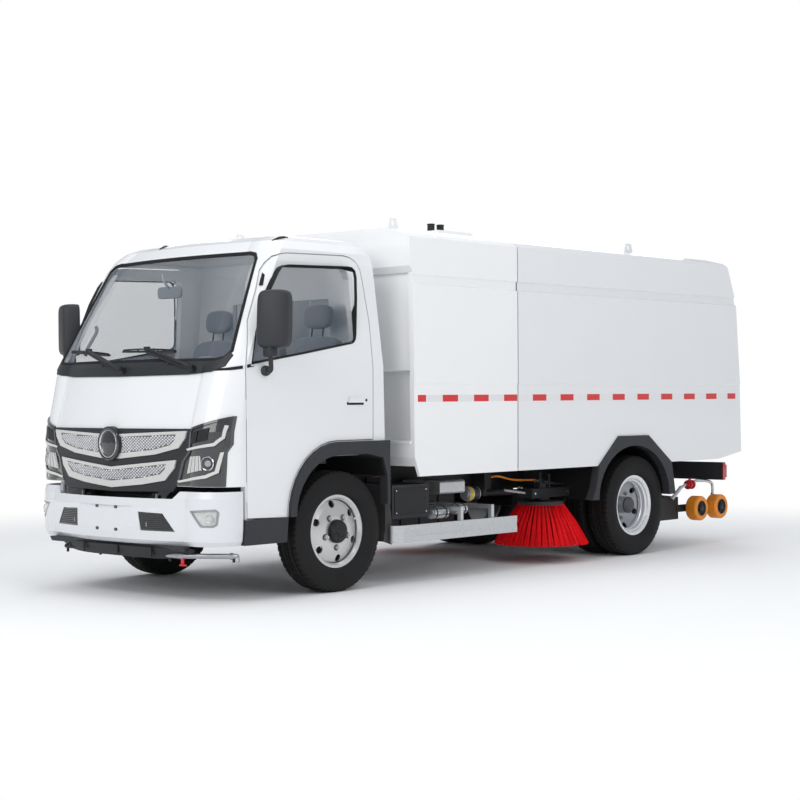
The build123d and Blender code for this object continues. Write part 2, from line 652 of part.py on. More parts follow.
write("grille", grille())
write("grille_bars", grille_bars())
write("headlamps", group(both(headlamp())))
write("cowl", cowl())


# ---------------------------------------------------------------- cab arches and steps
ARCH_LIP, ARCH_TOP_DROP = 52, 88
FLARE_STAND = 28
STEP = [(-842, 365), (-838, 524.7), (-470, 524.7), (-485, 365)]
STEP_WELL = [(-800, 385), (-790, 500), (-515, 500), (-515, 385)]


def arch(s):
    """The flare follows the wheel opening and narrows to its feet; the step hangs in front of it."""
    (cy, cz), (a, b) = ARCH_MIDDLE, ARCH_REACH
    inner = [(cy - (a - ARCH_LIP) * math.cos(t), cz + (b - ARCH_TOP_DROP) * math.sin(t))
             for t in [math.pi / 2 * i / ARCH_STEPS for i in range(ARCH_STEPS + 1)]]
    tail = [(247, 912), (400, 880), (440, 760), (440, 560), (470, 560), (470, 996.7)]
    edge = [(y, z - 0.3) for y, z in arch_points(-0.3)[::-1]]
    flare = side_prism(inner + tail + edge, HALF_CAB - CAB_WALL + 1, HALF_CAB + FLARE_STAND)
    step = side_prism(STEP, HALF_CAB - 200, HALF_CAB + 10) - side_prism(STEP_WELL, HALF_CAB - 400, HALF_CAB - 30)
    form = flare + step
    return form if s > 0 else mirror_x(form)


write("cab_arches", group(arch(1), arch(-1)))

# ---------------------------------------------------------------- bumper
# Columns as in CAB_SECTIONS, without the rear.
BUMPER_SECTIONS = ((363, -1128, -1062, 690, -870, 940), (392, -1162, -1082, 690, -862, 958),
                   (470, -1180, -1086, 690, -858, 966), (600, -FRONT_OVERHANG, -1088, 690, -856, 968),
                   (662, -1182, -1082, 690, -854, 968), (705, -1160, -1068, 690, -852, 966))
BUMPER_WALL = 25
# The top dips in the middle, with a rebate behind its lip, to let the grille swing past when the cab tilts.
BUMPER_DIP = [(-650, 720), (-592, 658), (592, 658), (650, 720)]
LIP_WALL, REBATE_X, REBATE_Z = 8, 605, 636
INTAKE = [(318, 572), (520, 566), (612, 452), (330, 452)]
FOG = [(733, 590), (898, 600), (914, 582), (906, 500), (886, 484), (815, 486)]
FOG_DEPTH = 14
PLATE_SEAT = (-262, 262, 424, 606)
PLATE_FACE = -1172
PLATE_HOLES, PLATE_HOLE_R = (98.5, 72.5), 6
PLATE_Z = 521.5


def bumper_solid(inset):
    rows = [row + (-760,) for row in BUMPER_SECTIONS]
    return loft([cab_section(row, inset) for row in rows], ruled=True)


def bumper():
    inner = bumper_solid(BUMPER_WALL)
    shell = bumper_solid(0) - inner
    shell -= box(-1200, 1200, -848, -600, 300, 800)
    shell -= front_prism(BUMPER_DIP, -1300, -1000)
    shell -= box(-REBATE_X, REBATE_X, -1300, -1000, REBATE_Z, 720) & bumper_solid(LIP_WALL)
    for part in both(front_prism(INTAKE, -1300, -1100)):
        shell -= part
    for part in both(front_prism(FOG, -1300, -900) - bumper_solid(FOG_DEPTH)):
        shell -= part
    x0, x1, z0, z1 = PLATE_SEAT
    shell -= box(x0, x1, -1300, PLATE_FACE, z0, z1)
    dx, dz = PLATE_HOLES
    for sx in (-1, 1):
        for sz in (-1, 1):
            shell -= rod_y(PLATE_HOLE_R, sx * dx, -1300, -1100, PLATE_Z + sz * dz)
    braces = [box(s * RAIL_X, s * (RAIL_X + 8), -1148, RAIL_FRONT + 60, 480, 600) for s in (1, -1)]
    return fuse(shell, *braces)


SPRAY_Z, SPRAY_R = 300, 14
SPRAY_RUN = ((-560, -1085), (640, -1085), (930, -880))


def spray_bar():
    """A pipe below the valance that turns back at the left corner, with a nozzle at each station."""
    points = [(x, y, SPRAY_Z) for x, y in SPRAY_RUN]
    pipe = fuse(*[rod(a, b, SPRAY_R) for a, b in zip(points, points[1:])], Pos(*points[1]) * Sphere(SPRAY_R))
    jets = [rod_z(9, x, -1085, 262, SPRAY_Z) for x in (-540, -180, 180, 540)] + [rod_z(9, 920, -887, 262, SPRAY_Z)]
    hangers = [box(x - 8, x + 8, -1100, -1070, SPRAY_Z, 329.7) for x in (-500, 560)]
    return fuse(pipe, *jets, *hangers)


write("bumper", bumper())
write("valance", side_prism([(-1100, 330), (-1118, 362.7), (-1060, 362.7), (-1050, 330)], -700, 700))
write("spray_bar", spray_bar())


# ---------------------------------------------------------------- body sections
ROOF_POINTS = [(1050, 2395), (1010, 2425), (840, 2468), (0, BODY_HEIGHT)]
SIDE_POINTS = [(1050, 2138), (1036, 2128), (1036, 2074), (1050, 2064), (1050, 1385), (1046, 1375), (1042, 740)]


def body_profile(inset, bottom):
    half = [(x - inset * (x > 0), min(z, BODY_HEIGHT - inset) - (inset if z > 2380 and z < BODY_HEIGHT else 0))
            for x, z in ROOF_POINTS]
    roof = [(0, BODY_HEIGHT - inset)] + half[::-1][1:]
    side = [(x - inset, max(z, bottom)) for x, z in SIDE_POINTS] if inset == 0 else [(HALF_BODY - inset, bottom)]
    right = roof + side
    left = [(-x, z) for x, z in right[::-1] if x > 0]
    return right + left


# Columns: station, height. The front face leans back and steps out above the ledge.
FRONT_EDGE = [(500, 300), (790, 300), (718, 744), (668, 872), (652, 2150), (618, 2195), (616, 2600), (500, 2600)]
FRONT_WALL = [(500, 1475), (682, 1475), (676, 2150), (500, 2150)]
FRONT_RECESS = [(500, 985), (752, 985), (752, 1462), (682, 1475), (500, 1475)]
FRONT_INSIDE, PANEL_EDGE = 800, 1008
REAR_LEAN = [(5200, 300), (4528, 600), (4528, 736), (4925, 798), (4903, 1379), (4844, 2064), (4822, 2138),
             (4708, 2404), (4650, 2600), (5200, 2600)]
FLOOR_Z = 850
WHEEL_CUT = [(2803, 700), (2803, 741), (3070, 969), (3482, 968), (3812, 741), (3812, 700)]


def eye(x, y):
    plate = side_prism([(y - 60, 2450), (y - 35, 2545), (y + 35, 2545), (y + 60, 2450)], x - 6, x + 6)
    return plate - rod_x(20, x - 20, x + 20, y, 2515)


HATCH, HATCH_TOP, KNOB_R = (450, 1569), 2521, 26


def body_front():
    shell = front_prism(body_profile(0, BODY_BOTTOM), 600, SEAM - SEAM_GAP)
    shell -= front_prism(body_profile(BODY_WALL, 600), FRONT_INSIDE, SEAM - SEAM_GAP - BODY_WALL)
    shell -= side_prism(FRONT_EDGE, -1200, 1200)
    for hollow in (FRONT_WALL, FRONT_RECESS):
        shell -= side_prism(hollow, -PANEL_EDGE, PANEL_EDGE)
    shell -= box(-HALF_BODY + SKIRT_WALL, HALF_BODY - SKIRT_WALL, 500, 2000, 700, SUB_TOP + 0.3)
    ribs = [box(x - 14, x + 14, 664, 690, 1490, 2140) for x in (-500, 0, 500)]
    shelf = box(-PANEL_EDGE - 1, PANEL_EDGE + 1, 654, 760, 966, 986)
    eyes = [eye(s * 800, 720) for s in (1, -1)]
    hx, hy = HATCH
    hatch = loft([Pos(hx, hy, 2460) * Rectangle(440, 420), Pos(hx, hy, HATCH_TOP) * Rectangle(390, 370)])
    knobs = [rod_z(KNOB_R, hx, hy + dy, HATCH_TOP - 5, 2590) for dy in (-50, 55)]
    return fuse(shell, *ribs, shelf, *eyes, hatch, *knobs)


HOUSE_INSIDE = 495
FLOOR_REAR = 4840


def hopper_shell():
    shell = front_prism(body_profile(0, BODY_BOTTOM), SEAM, BODY_REAR + 50)
    hollow = front_prism(body_profile(BODY_WALL, FLOOR_Z), SEAM + BODY_WALL, BODY_REAR + 100)
    shell -= hollow
    shell -= side_prism(REAR_LEAN, -1200, 1200)
    door_gap = [(y - 75, min(z, 2409)) for y, z in REAR_LEAN]
    shell -= side_prism(door_gap, -HALF_BODY + BODY_WALL, HALF_BODY - BODY_WALL)
    floor_space = box(-HALF_BODY + BODY_WALL, HALF_BODY - BODY_WALL, 1500, 5200, 700, FLOOR_Z)
    cut = side_prism(WHEEL_CUT, HALF_BODY - BODY_WALL - 1, 1200)
    shell = shell - cut - mirror_x(cut) - floor_space
    eyes = [eye(s * 800, y) for s in (1, -1) for y in (3578,)]
    door_ears = [side_prism([(4650, 2460), (4690, 2470), (4745, 2440), (4750, 2412), (4712, 2408)], s * 600, s * 612)
                 + rod_x(8, s * 600, s * 640, *DOOR_HINGE) for s in (1, -1)]
    return fuse(shell, *eyes, *door_ears)


def hopper_floor():
    """The tray between the side walls, with a house over each pair of wheels and the pivot ears."""
    x, rear = HALF_BODY - BODY_WALL - 0.3, FLOOR_REAR
    tray = box(-x, x, SEAM + BODY_WALL + 0.3, rear, FLOOR_Z - BODY_WALL, FLOOR_Z)
    house = side_prism(grow(WHEEL_CUT, 25), HOUSE_INSIDE, x) & box(0, x, 2000, 4500, FLOOR_Z - BODY_WALL, 1200)
    cut = side_prism(WHEEL_CUT, HOUSE_INSIDE + 25, x + 1)
    tray = (tray + house + mirror_x(house)) - cut - mirror_x(cut)
    py, pz = TIP_PIVOT
    ears = [side_prism([(py - 60, FLOOR_Z - BODY_WALL + 5), (py - 20, pz - 20), (py + 20, pz - 20),
                        (py + 60, FLOOR_Z - BODY_WALL + 5)], s * (RAIL_X - 60), s * (RAIL_X - 35))
            + rod_x(29, s * (RAIL_X - 60), s * (RAIL_X - 35), py, pz)
            - rod_x(18 + RUN_GAP, -600, 600, py, pz) for s in (1, -1)]
    ey, ez = ROD_EYE
    lugs = [side_prism([(ey - 70, FLOOR_Z - BODY_WALL + 5), (ey - 35, ez - 35), (ey + 35, ez - 35),
                        (ey + 70, FLOOR_Z - BODY_WALL + 5)], s * 42, s * 60) for s in (1, -1)]
    return fuse(tray, *ears, *lugs)


write("body_front", body_front())
write("hopper_shell", hopper_shell())
write("hopper_floor", hopper_floor())


# The door's outer face from its foot to its head: station, height.
DOOR_FACE = [(4925, 798), (4903, 1379), (4844, 2064), (4822, 2138), (4708, 2404)]
DOOR_THICK, POCKET_DEEP = 58, 14
# Columns: inner x, outer x, low z, high z of the pockets between the door's ribs.
DOOR_POCKETS = ((45, 900, 880, 1330), (45, 900, 1400, 2000))


def face_station(z):
    """The station of the rear door's outer face at height z."""
    for (y0, z0), (y1, z1) in zip(DOOR_FACE, DOOR_FACE[1:]):
        if z <= z1:
            return y0 + (y1 - y0) * (z - z0) / (z1 - z0)
    return DOOR_FACE[-1][0]


def rear_door():
    inner_face = [(y - DOOR_THICK, z) for y, z in DOOR_FACE[::-1]]
    half = HALF_BODY - BODY_WALL - 6
    slab = front_prism(body_profile(0, 790), 4000, 5100) & side_prism(DOOR_FACE + inner_face, -half, half)
    for x0, x1, low, high in DOOR_POCKETS:
        floor = [(face_station(z) - POCKET_DEEP, z) for z in (low, 1379, high) if low <= z <= high]
        pocket = side_prism(floor + [(5200, high), (5200, low)], x0, x1)
        slab -= pocket
        slab -= mirror_x(pocket)
    lug = side_prism([(4725, 2350), (4712, 2380), (4722, 2440), (4750, 2440), (4752, 2400)], 613, 625)
    lug -= rod_x(8.3, 500, 700, *DOOR_HINGE)
    slab += [lug, mirror_x(lug)]
    return slab


write("rear_door", rear_door())


REAR_OPENING = (3284, 474, 491, 415)


def rear_arch(s):
    """A ring that fills the gap between the body's cut and a round opening, down to two feet."""
    cy, cz, a, b = REAR_OPENING
    inside = [(cy - a * math.cos(math.pi * i / 18), cz + b * math.sin(math.pi * i / 18)) for i in range(19)]
    outside = [(3864, 477), (3811, 740), (3481.5, 967), (3070.5, 968), (2804, 740), (2753, 569), (2704, 477)]
    form = side_prism(inside + outside, HALF_BODY - 60, HALF_BODY + 10)
    return form if s > 0 else mirror_x(form)


write("rear_arches", group(rear_arch(1), rear_arch(-1)))

# ---------------------------------------------------------------- tip cylinder


def along(a, b, share):
    return (a[0] + (b[0] - a[0]) * share, a[1] + (b[1] - a[1]) * share)


def tip_barrel():
    top = along(BARREL_FOOT, ROD_EYE, 0.8)
    tube = rod((0, *along(BARREL_FOOT, ROD_EYE, 0.025)), (0, *top), BARREL_R)
    tube -= rod((0, *along(BARREL_FOOT, ROD_EYE, 0.1)), (0, *along(BARREL_FOOT, ROD_EYE, 0.9)), ROD_R + RUN_GAP)
    foot = rod_x(40, -40, 40, *BARREL_FOOT) - rod_x(20 + RUN_GAP, -60, 60, *BARREL_FOOT)
    return tube + foot


def tip_rod():
    bar = rod((0, *along(BARREL_FOOT, ROD_EYE, 0.12)), (0, *along(BARREL_FOOT, ROD_EYE, 0.97)), ROD_R)
    end = rod_x(38, -30, 30, *ROD_EYE) - rod_x(20 + RUN_GAP, -60, 60, *ROD_EYE)
    return bar + end


write("tip_barrel", tip_barrel())
write("tip_rod", tip_rod())

# ---------------------------------------------------------------- side brushes


# The frame over the brush, as inner x, outer x, front, rear, low, high.
BRUSH_FRAME = (628, 772, 2312, 2800, 500, 572)
FRAME_WALL = 12


def brush_arm():
    px, py = BRUSH_PIVOT
    bx, by = BRUSH
    x0, x1, y0, y1, z0, z1 = BRUSH_FRAME
    post = rod_z(BRUSH_POST_R, px, py, 520, RAIL_TOP - 40)
    beam = rod((px, py, 544), (bx, by, 544), 24)
    motor = fuse(rod_z(70, bx, by, 480, 560), rod_z(52, bx, by, 555, 612), rod_z(24, bx, by, 605, 640))
    frame = box(*BRUSH_FRAME) - box(x0 + FRAME_WALL, x1 - FRAME_WALL, y0 + FRAME_WALL, y1 - FRAME_WALL, z0 - 1, z1 + 1)
    carrier = box(x0 + 5, x1 - 5, by - 90, by + 90, z0 + 6, z0 + 18)
    tail = [box(bx - 12, bx + 12, y1 - 5, y1 + 18, 470, 610), rod((bx, y1 + 8, 500), (bx, y1 + 26, 452), 10)]
    rods = [rod_z(8, x1 - 8, 2423, 560, 694), rod_z(8, x1 - 8, 2535, 560, 680)]
    return fuse(post, beam, motor, frame, carrier, *tail, *rods)


def brush_disc():
    return fuse(rod_z(180, *BRUSH, 440, 470), rod_z(22, *BRUSH, 465, 479.5))


def bristles():
    bx, by = BRUSH
    face = outline([(120, 0, 439.7), (178, 0, 439.7), (BRUSH_R, 0, BRUSH_TIP_Z), (190, 0, BRUSH_TIP_Z)])
    return Pos(bx, by, 0) * revolve(face, Axis.Z)


for side, s in SIDES:
    for name, maker in (("brush_arm_", brush_arm), ("brush_disc_", brush_disc), ("bristles_", bristles)):
        write(name + side, maker() if s > 0 else mirror_x(maker()))

# ---------------------------------------------------------------- rear suction nozzle
NOZZLE_WHEELS = ((895, 4439, 318), (895, 4756, 318))
# Half of a roller from its middle out: distance, radius. The other half is its mirror image.
ROLLER_HALF = ((0, 105), (40, 105), (50, 99), (50, 62), (32, 56), (32, 28), (47, 28), (47, 14.5))
ROLLER = [(-out, r) for out, r in ROLLER_HALF[:0:-1]] + list(ROLLER_HALF)


def nozzle():
    hood = front_prism([(-820, 230), (-820, 420), (-300, 450), (300, 450), (820, 420), (820, 230)], 3985, 4265)
    hood -= front_prism([(-790, 200), (-790, 400), (790, 400), (790, 200)], 4015, 4235)
    arms = [box(s * 800, s * 825, 4240, 4790, 290, 350) for s in (1, -1)]
    axles = [rod_x(14, s * 810, s * 948, y, z) for s in (1, -1) for x, y, z in NOZZLE_WHEELS]
    y, z = ARM_END
    lugs = [side_prism([(y - 45, 440), (y - 20, z + 20), (y + 20, z + 20), (y + 45, 440)], s * 306, s * 320)
            + rod_x(ARM_PIN, s * 270, s * 320, y, z) for s in (1, -1)]
    return fuse(hood, *arms, *axles, *lugs)


def nozzle_arm():
    (y0, z0), (y1, z1) = ARM_ROOT, ARM_END
    arm = box(275, 305, y0, y1, z1 - 12, z0 + 2)
    arm += [rod_x(28, 275, 305, y0, z0), rod_x(28, 275, 305, y1, z1)]
    arm -= [rod_x(ARM_PIN + RUN_GAP, 200, 400, y0, z0), rod_x(ARM_PIN + RUN_GAP, 200, 400, y1, z1)]
    tie = rod_x(20, -280, 280, (y0 + y1) / 2, (z0 + z1) / 2)
    return fuse(arm, mirror_x(arm), tie)


write("nozzle_arm", nozzle_arm())
write("nozzle", nozzle())
for side, s in SIDES:
    for place, (x, y, z) in zip(("front", "rear"), NOZZLE_WHEELS):
        wheel = lathe_x(ROLLER, s * x, y, z, s)
        write("nozzle_wheel_" + place + "_" + side, wheel)

# ---------------------------------------------------------------- engine and side pieces
def engine():
    block = box(-300, 300, -480, 250, 480, 880) - box(-400, 400, -60, 60, 300, 500)
    gearbox = box(-160, 160, 240, 900, 480, 715)
    mounts = [box(-RAIL_X + RAIL_WALL, RAIL_X - RAIL_WALL, y, y + 80, 600, 650) for y in (-300, 100)]
    return fuse(block, gearbox, *mounts)


write("engine", engine())
write("sweeper_engine", box(-550, 550, 900, 1600, SUB_TOP + 0.3, 1500))


def hung_box(x_out, y0, y1, z0, z1):
    """A box on two L brackets that are bolted to the rail's web."""
    tank = box(RAIL_X + 90, x_out, y0, y1, z0, z1)
    for y in (y0 + 110, y1 - 100):
        tank += box(RAIL_X, RAIL_X + 12, y, y + 40, z0 - 12, RAIL_TOP - 30)
        tank += box(RAIL_X, x_out - 60, y, y + 40, z0 - 12, z0)
    return tank


write("side_box", group(hung_box(900, 588, 969, 443, 678), mirror_x(hung_box(900, 620, 1200, 420, 700))))


# Cylinders that lie along the chassis: x, height, radius, front, rear.
ACCUMULATORS = ((850, 460, 42, 1047, 1198), (850, 475, 37, 1286, 1409))
FILTER = (700, 567, 52, 1600, 1721)
OIL_TANK = (RAIL_X + 60, 800, 1201, 1478, 585, 683)


def air_tank():
    """The oil tank, with two accumulators and a filter hung below it."""
    tank = box(*OIL_TANK)
    tank = fillet(tank.edges().filter_by(Axis.Y), 18)
    x0, x1, y0, y1, z0, z1 = OIL_TANK
    pieces = [tank, box(RAIL_X, x0 + 5, y0 + 80, y0 + 140, z0 + 20, z1 - 20)]
    for x, z, r, front, rear in ACCUMULATORS + (FILTER,):
        middle = (front + rear) / 2
        pieces.append(rod_y(r, x, front, rear, z))
        pieces.append(rod_y(r - 14, x, front - 12, rear + 12, z))
        pieces.append(box(RAIL_X, x, middle - 15, middle + 15, z + r - 12, z + r - 2))
        pieces.append(box(RAIL_X, RAIL_X + 10, middle - 15, middle + 15, z + r - 12, 660))
    return fuse(*pieces)


write("air_tank", air_tank())
GUARD_X, GUARD_WALL = 985, 15


GUARD_LOW, GUARD_HIGH, GUARD_FRONT, GUARD_REAR = 285, 405, 620, 1840
GUARD_CURL = (60, 98)


def side_guard():
    """A rail along the side whose front end curls inwards, on two brackets."""
    (a, b), out, wall = GUARD_CURL, GUARD_X + GUARD_WALL, GUARD_WALL
    turns = [math.pi / 2 * i / 8 for i in range(9)]
    outer = [(out - a * (1 - math.cos(t)), GUARD_FRONT - b * math.sin(t)) for t in turns]
    inner = [(GUARD_X - (a - wall) * (1 - math.cos(t)), GUARD_FRONT - (b - wall) * math.sin(t)) for t in turns]
    plan = [(out, GUARD_REAR)] + outer + inner[::-1] + [(GUARD_X, GUARD_REAR)]
    plate = plan_prism(plan, GUARD_LOW, GUARD_HIGH)
    plate -= box(out - 4, out + 1, GUARD_FRONT + 20, GUARD_REAR + 1, GUARD_LOW + 42, GUARD_HIGH - 42)
    for y in (1215, 1560):
        plate += box(RAIL_X, RAIL_X + 12, y, y + 30, 470, 640)
        plate += box(RAIL_X, GUARD_X, y, y + 30, 470, 500)
        plate += box(GUARD_X - 30, GUARD_X, y, y + 30, 300, 500)
    return plate


write("side_guards", group(both(side_guard())))


# The wheel side of the mudguard from its head to its foot, and its rear edge back up: station, height.
GUARD_WHEEL_SIDE = [(455, 690), (478, 640), (497, 560), (505, 470), (500, 380), (482, 300)]
GUARD_REAR_EDGE = [(565, 274), (571, 422), (550, 560), (520, 650), (500, 690)]
MUDGUARD_X, MUDGUARD_WALL = (775, 915), 10


def mudguard():
    """A curved guard behind the front wheel, open to the rear, with a flange along its outer edge."""
    x0, x1 = MUDGUARD_X
    guard = side_prism(GUARD_WHEEL_SIDE + GUARD_REAR_EDGE, x0, x1)
    behind = [(y + MUDGUARD_WALL, z) for y, z in GUARD_WHEEL_SIDE]
    guard -= side_prism([(behind[0][0], 720)] + behind + [(behind[-1][0], 200), (700, 200), (700, 720)], x0 - 1, x1 - 10)
    return guard + box(RAIL_X, x1 - 5, 502, 514, 585, 620)


write("mud_flaps", group(both(mudguard())))
TAIL_HALF, TAIL_LOW, TAIL_HIGH = 929, 546, 700
# The middles of the three lenses of a rear lamp, from the outer one in.
LENSES = (855, 740, 625)


def rear_lamp():
    face = RAIL_REAR + 45
    case = box(560, TAIL_HALF, face, face + 26, TAIL_LOW + 22, TAIL_HIGH - 22)
    return fuse(case, *[rod_y(46, x, face + 20, face + 36, (TAIL_LOW + TAIL_HIGH) / 2) for x in LENSES])


write("tail_board", box(-TAIL_HALF, TAIL_HALF, RAIL_REAR, RAIL_REAR + 45, TAIL_LOW, TAIL_HIGH))
write("rear_lamps", group(both(rear_lamp())))
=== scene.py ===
import bpy
import bmesh
import itertools
import json
import math
import random
from mathutils import Matrix, Vector, bvhtree


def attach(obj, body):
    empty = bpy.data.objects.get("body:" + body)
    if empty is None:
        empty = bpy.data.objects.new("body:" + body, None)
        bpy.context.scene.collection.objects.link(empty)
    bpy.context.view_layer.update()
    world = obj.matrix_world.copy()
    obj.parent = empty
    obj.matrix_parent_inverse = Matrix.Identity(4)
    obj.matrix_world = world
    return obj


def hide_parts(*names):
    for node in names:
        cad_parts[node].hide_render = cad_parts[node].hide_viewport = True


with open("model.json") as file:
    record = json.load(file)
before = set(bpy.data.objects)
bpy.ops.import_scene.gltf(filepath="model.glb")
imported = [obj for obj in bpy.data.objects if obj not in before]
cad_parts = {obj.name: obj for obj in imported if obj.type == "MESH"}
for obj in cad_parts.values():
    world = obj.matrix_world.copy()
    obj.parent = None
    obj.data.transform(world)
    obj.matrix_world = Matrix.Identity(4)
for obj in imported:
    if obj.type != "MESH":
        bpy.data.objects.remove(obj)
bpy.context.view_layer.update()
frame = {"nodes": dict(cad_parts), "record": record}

rng = random.Random(7)
UP = Vector((0, 0, 1))

# Metres, +Z up, the truck's front towards -Y and its left side towards +X.
FRONT_AXLE = -1.8675
SIDES = (("left", 1), ("right", -1))


def station(y):
    """A distance behind the front axle becomes y in the frame."""
    return y + FRONT_AXLE


def at(x, y, z):
    """A point whose y is given from the front axle."""
    return (x, station(y), z)


# ------------ materials
WHITE = (0.8, 0.808, 0.818)
BUMP_REACH = 0.001
COAT_ROUGH = 0.04
made = {}


def fill(thing, **settings):
    """Sets attributes and hands the thing back."""
    for key, value in settings.items():
        setattr(thing, key, value)
    return thing


def connect(tree, node, sockets):
    """Gives each named input of a node a value, or a link from another node's output."""
    for key, value in sockets.items():
        if isinstance(value, bpy.types.NodeSocket):
            tree.links.new(value, node.inputs[key])
        else:
            node.inputs[key].default_value = value


def add_node(tree, kind, sockets, output=None, **settings):
    """A new shader node with its inputs filled; returns the named output, or the node."""
    node = fill(tree.nodes.new("ShaderNode" + kind), **settings)
    connect(tree, node, sockets)
    return node.outputs[output] if output else node


def material(name, colour, rough, metal=0.0, vary=0.05, patches=3.0, swing=0.06, grain=0.0, fine=400.0, coat=0.0,
        alpha=1.0, sheen=0.0, shine=0.5, dust=None):
    """A finish with colour (vary) and gloss (swing) that drift in patches, a fine grain, and dust low down."""
    if name in made:
        return made[name]
    m = made[name] = bpy.data.materials.new(name)
    m.use_nodes = True
    tree = m.node_tree
    coords = add_node(tree, "TexCoord", {}, "Object")
    drift = add_node(tree, "TexNoise", {"Scale": patches, "Detail": 6, "Vector": coords}, "Fac")
    ramp = add_node(tree, "ValToRGB", {"Fac": drift})
    for stop, position, share in zip(ramp.color_ramp.elements, (0.3, 0.7), (1 - vary, 1 + vary)):
        fill(stop, position=position, color=(*[min(1, c * share) for c in colour], 1))
    tint = ramp.outputs["Color"]
    if dust:
        tint = add_dust(tree, coords, tint, *dust)
    gloss = add_node(tree, "MapRange", {"Value": drift, "To Min": max(0.02, rough - swing),
        "To Max": min(1, rough + swing)}, "Result")
    shader = tree.nodes["Principled BSDF"]
    connect(tree, shader, {"Base Color": tint, "Roughness": gloss, "Metallic": metal, "Coat Weight": coat,
        "Coat Roughness": COAT_ROUGH, "Alpha": alpha, "Specular IOR Level": shine, "Sheen Weight": sheen})
    if grain:
        speck = add_node(tree, "TexNoise", {"Scale": fine, "Detail": 3, "Vector": coords}, "Fac")
        bump = add_node(tree, "Bump", {"Strength": grain, "Distance": BUMP_REACH, "Height": speck}, "Normal")
        connect(tree, shader, {"Normal": bump})
    return m


def add_dust(tree, coords, tint, colour, top, amount):
    """Mixes a road-dust colour in below a height, broken up by noise."""
    height = add_node(tree, "SeparateXYZ", {"Vector": coords}, "Z")
    fall = add_node(tree, "MapRange", {"Value": height, "From Min": 0.0, "From Max": top, "To Min": amount,
        "To Max": 0.0}, "Result")
    patch = add_node(tree, "TexNoise", {"Scale": 9, "Detail": 8, "Vector": coords}, "Fac")
    share = add_node(tree, "Math", {0: fall, 1: patch}, "Value", operation="MULTIPLY")
    return add_node(tree, "Mix", {"Factor": share, "A": tint, "B": (*colour, 1)}, "Result", data_type="RGBA")


# Dust is a colour, the height it fades out at and its amount.
ROAD_DUST = ((0.3, 0.27, 0.23), 0.75, 0.35)
GREY_DUST = (0.1, 0.095, 0.088)
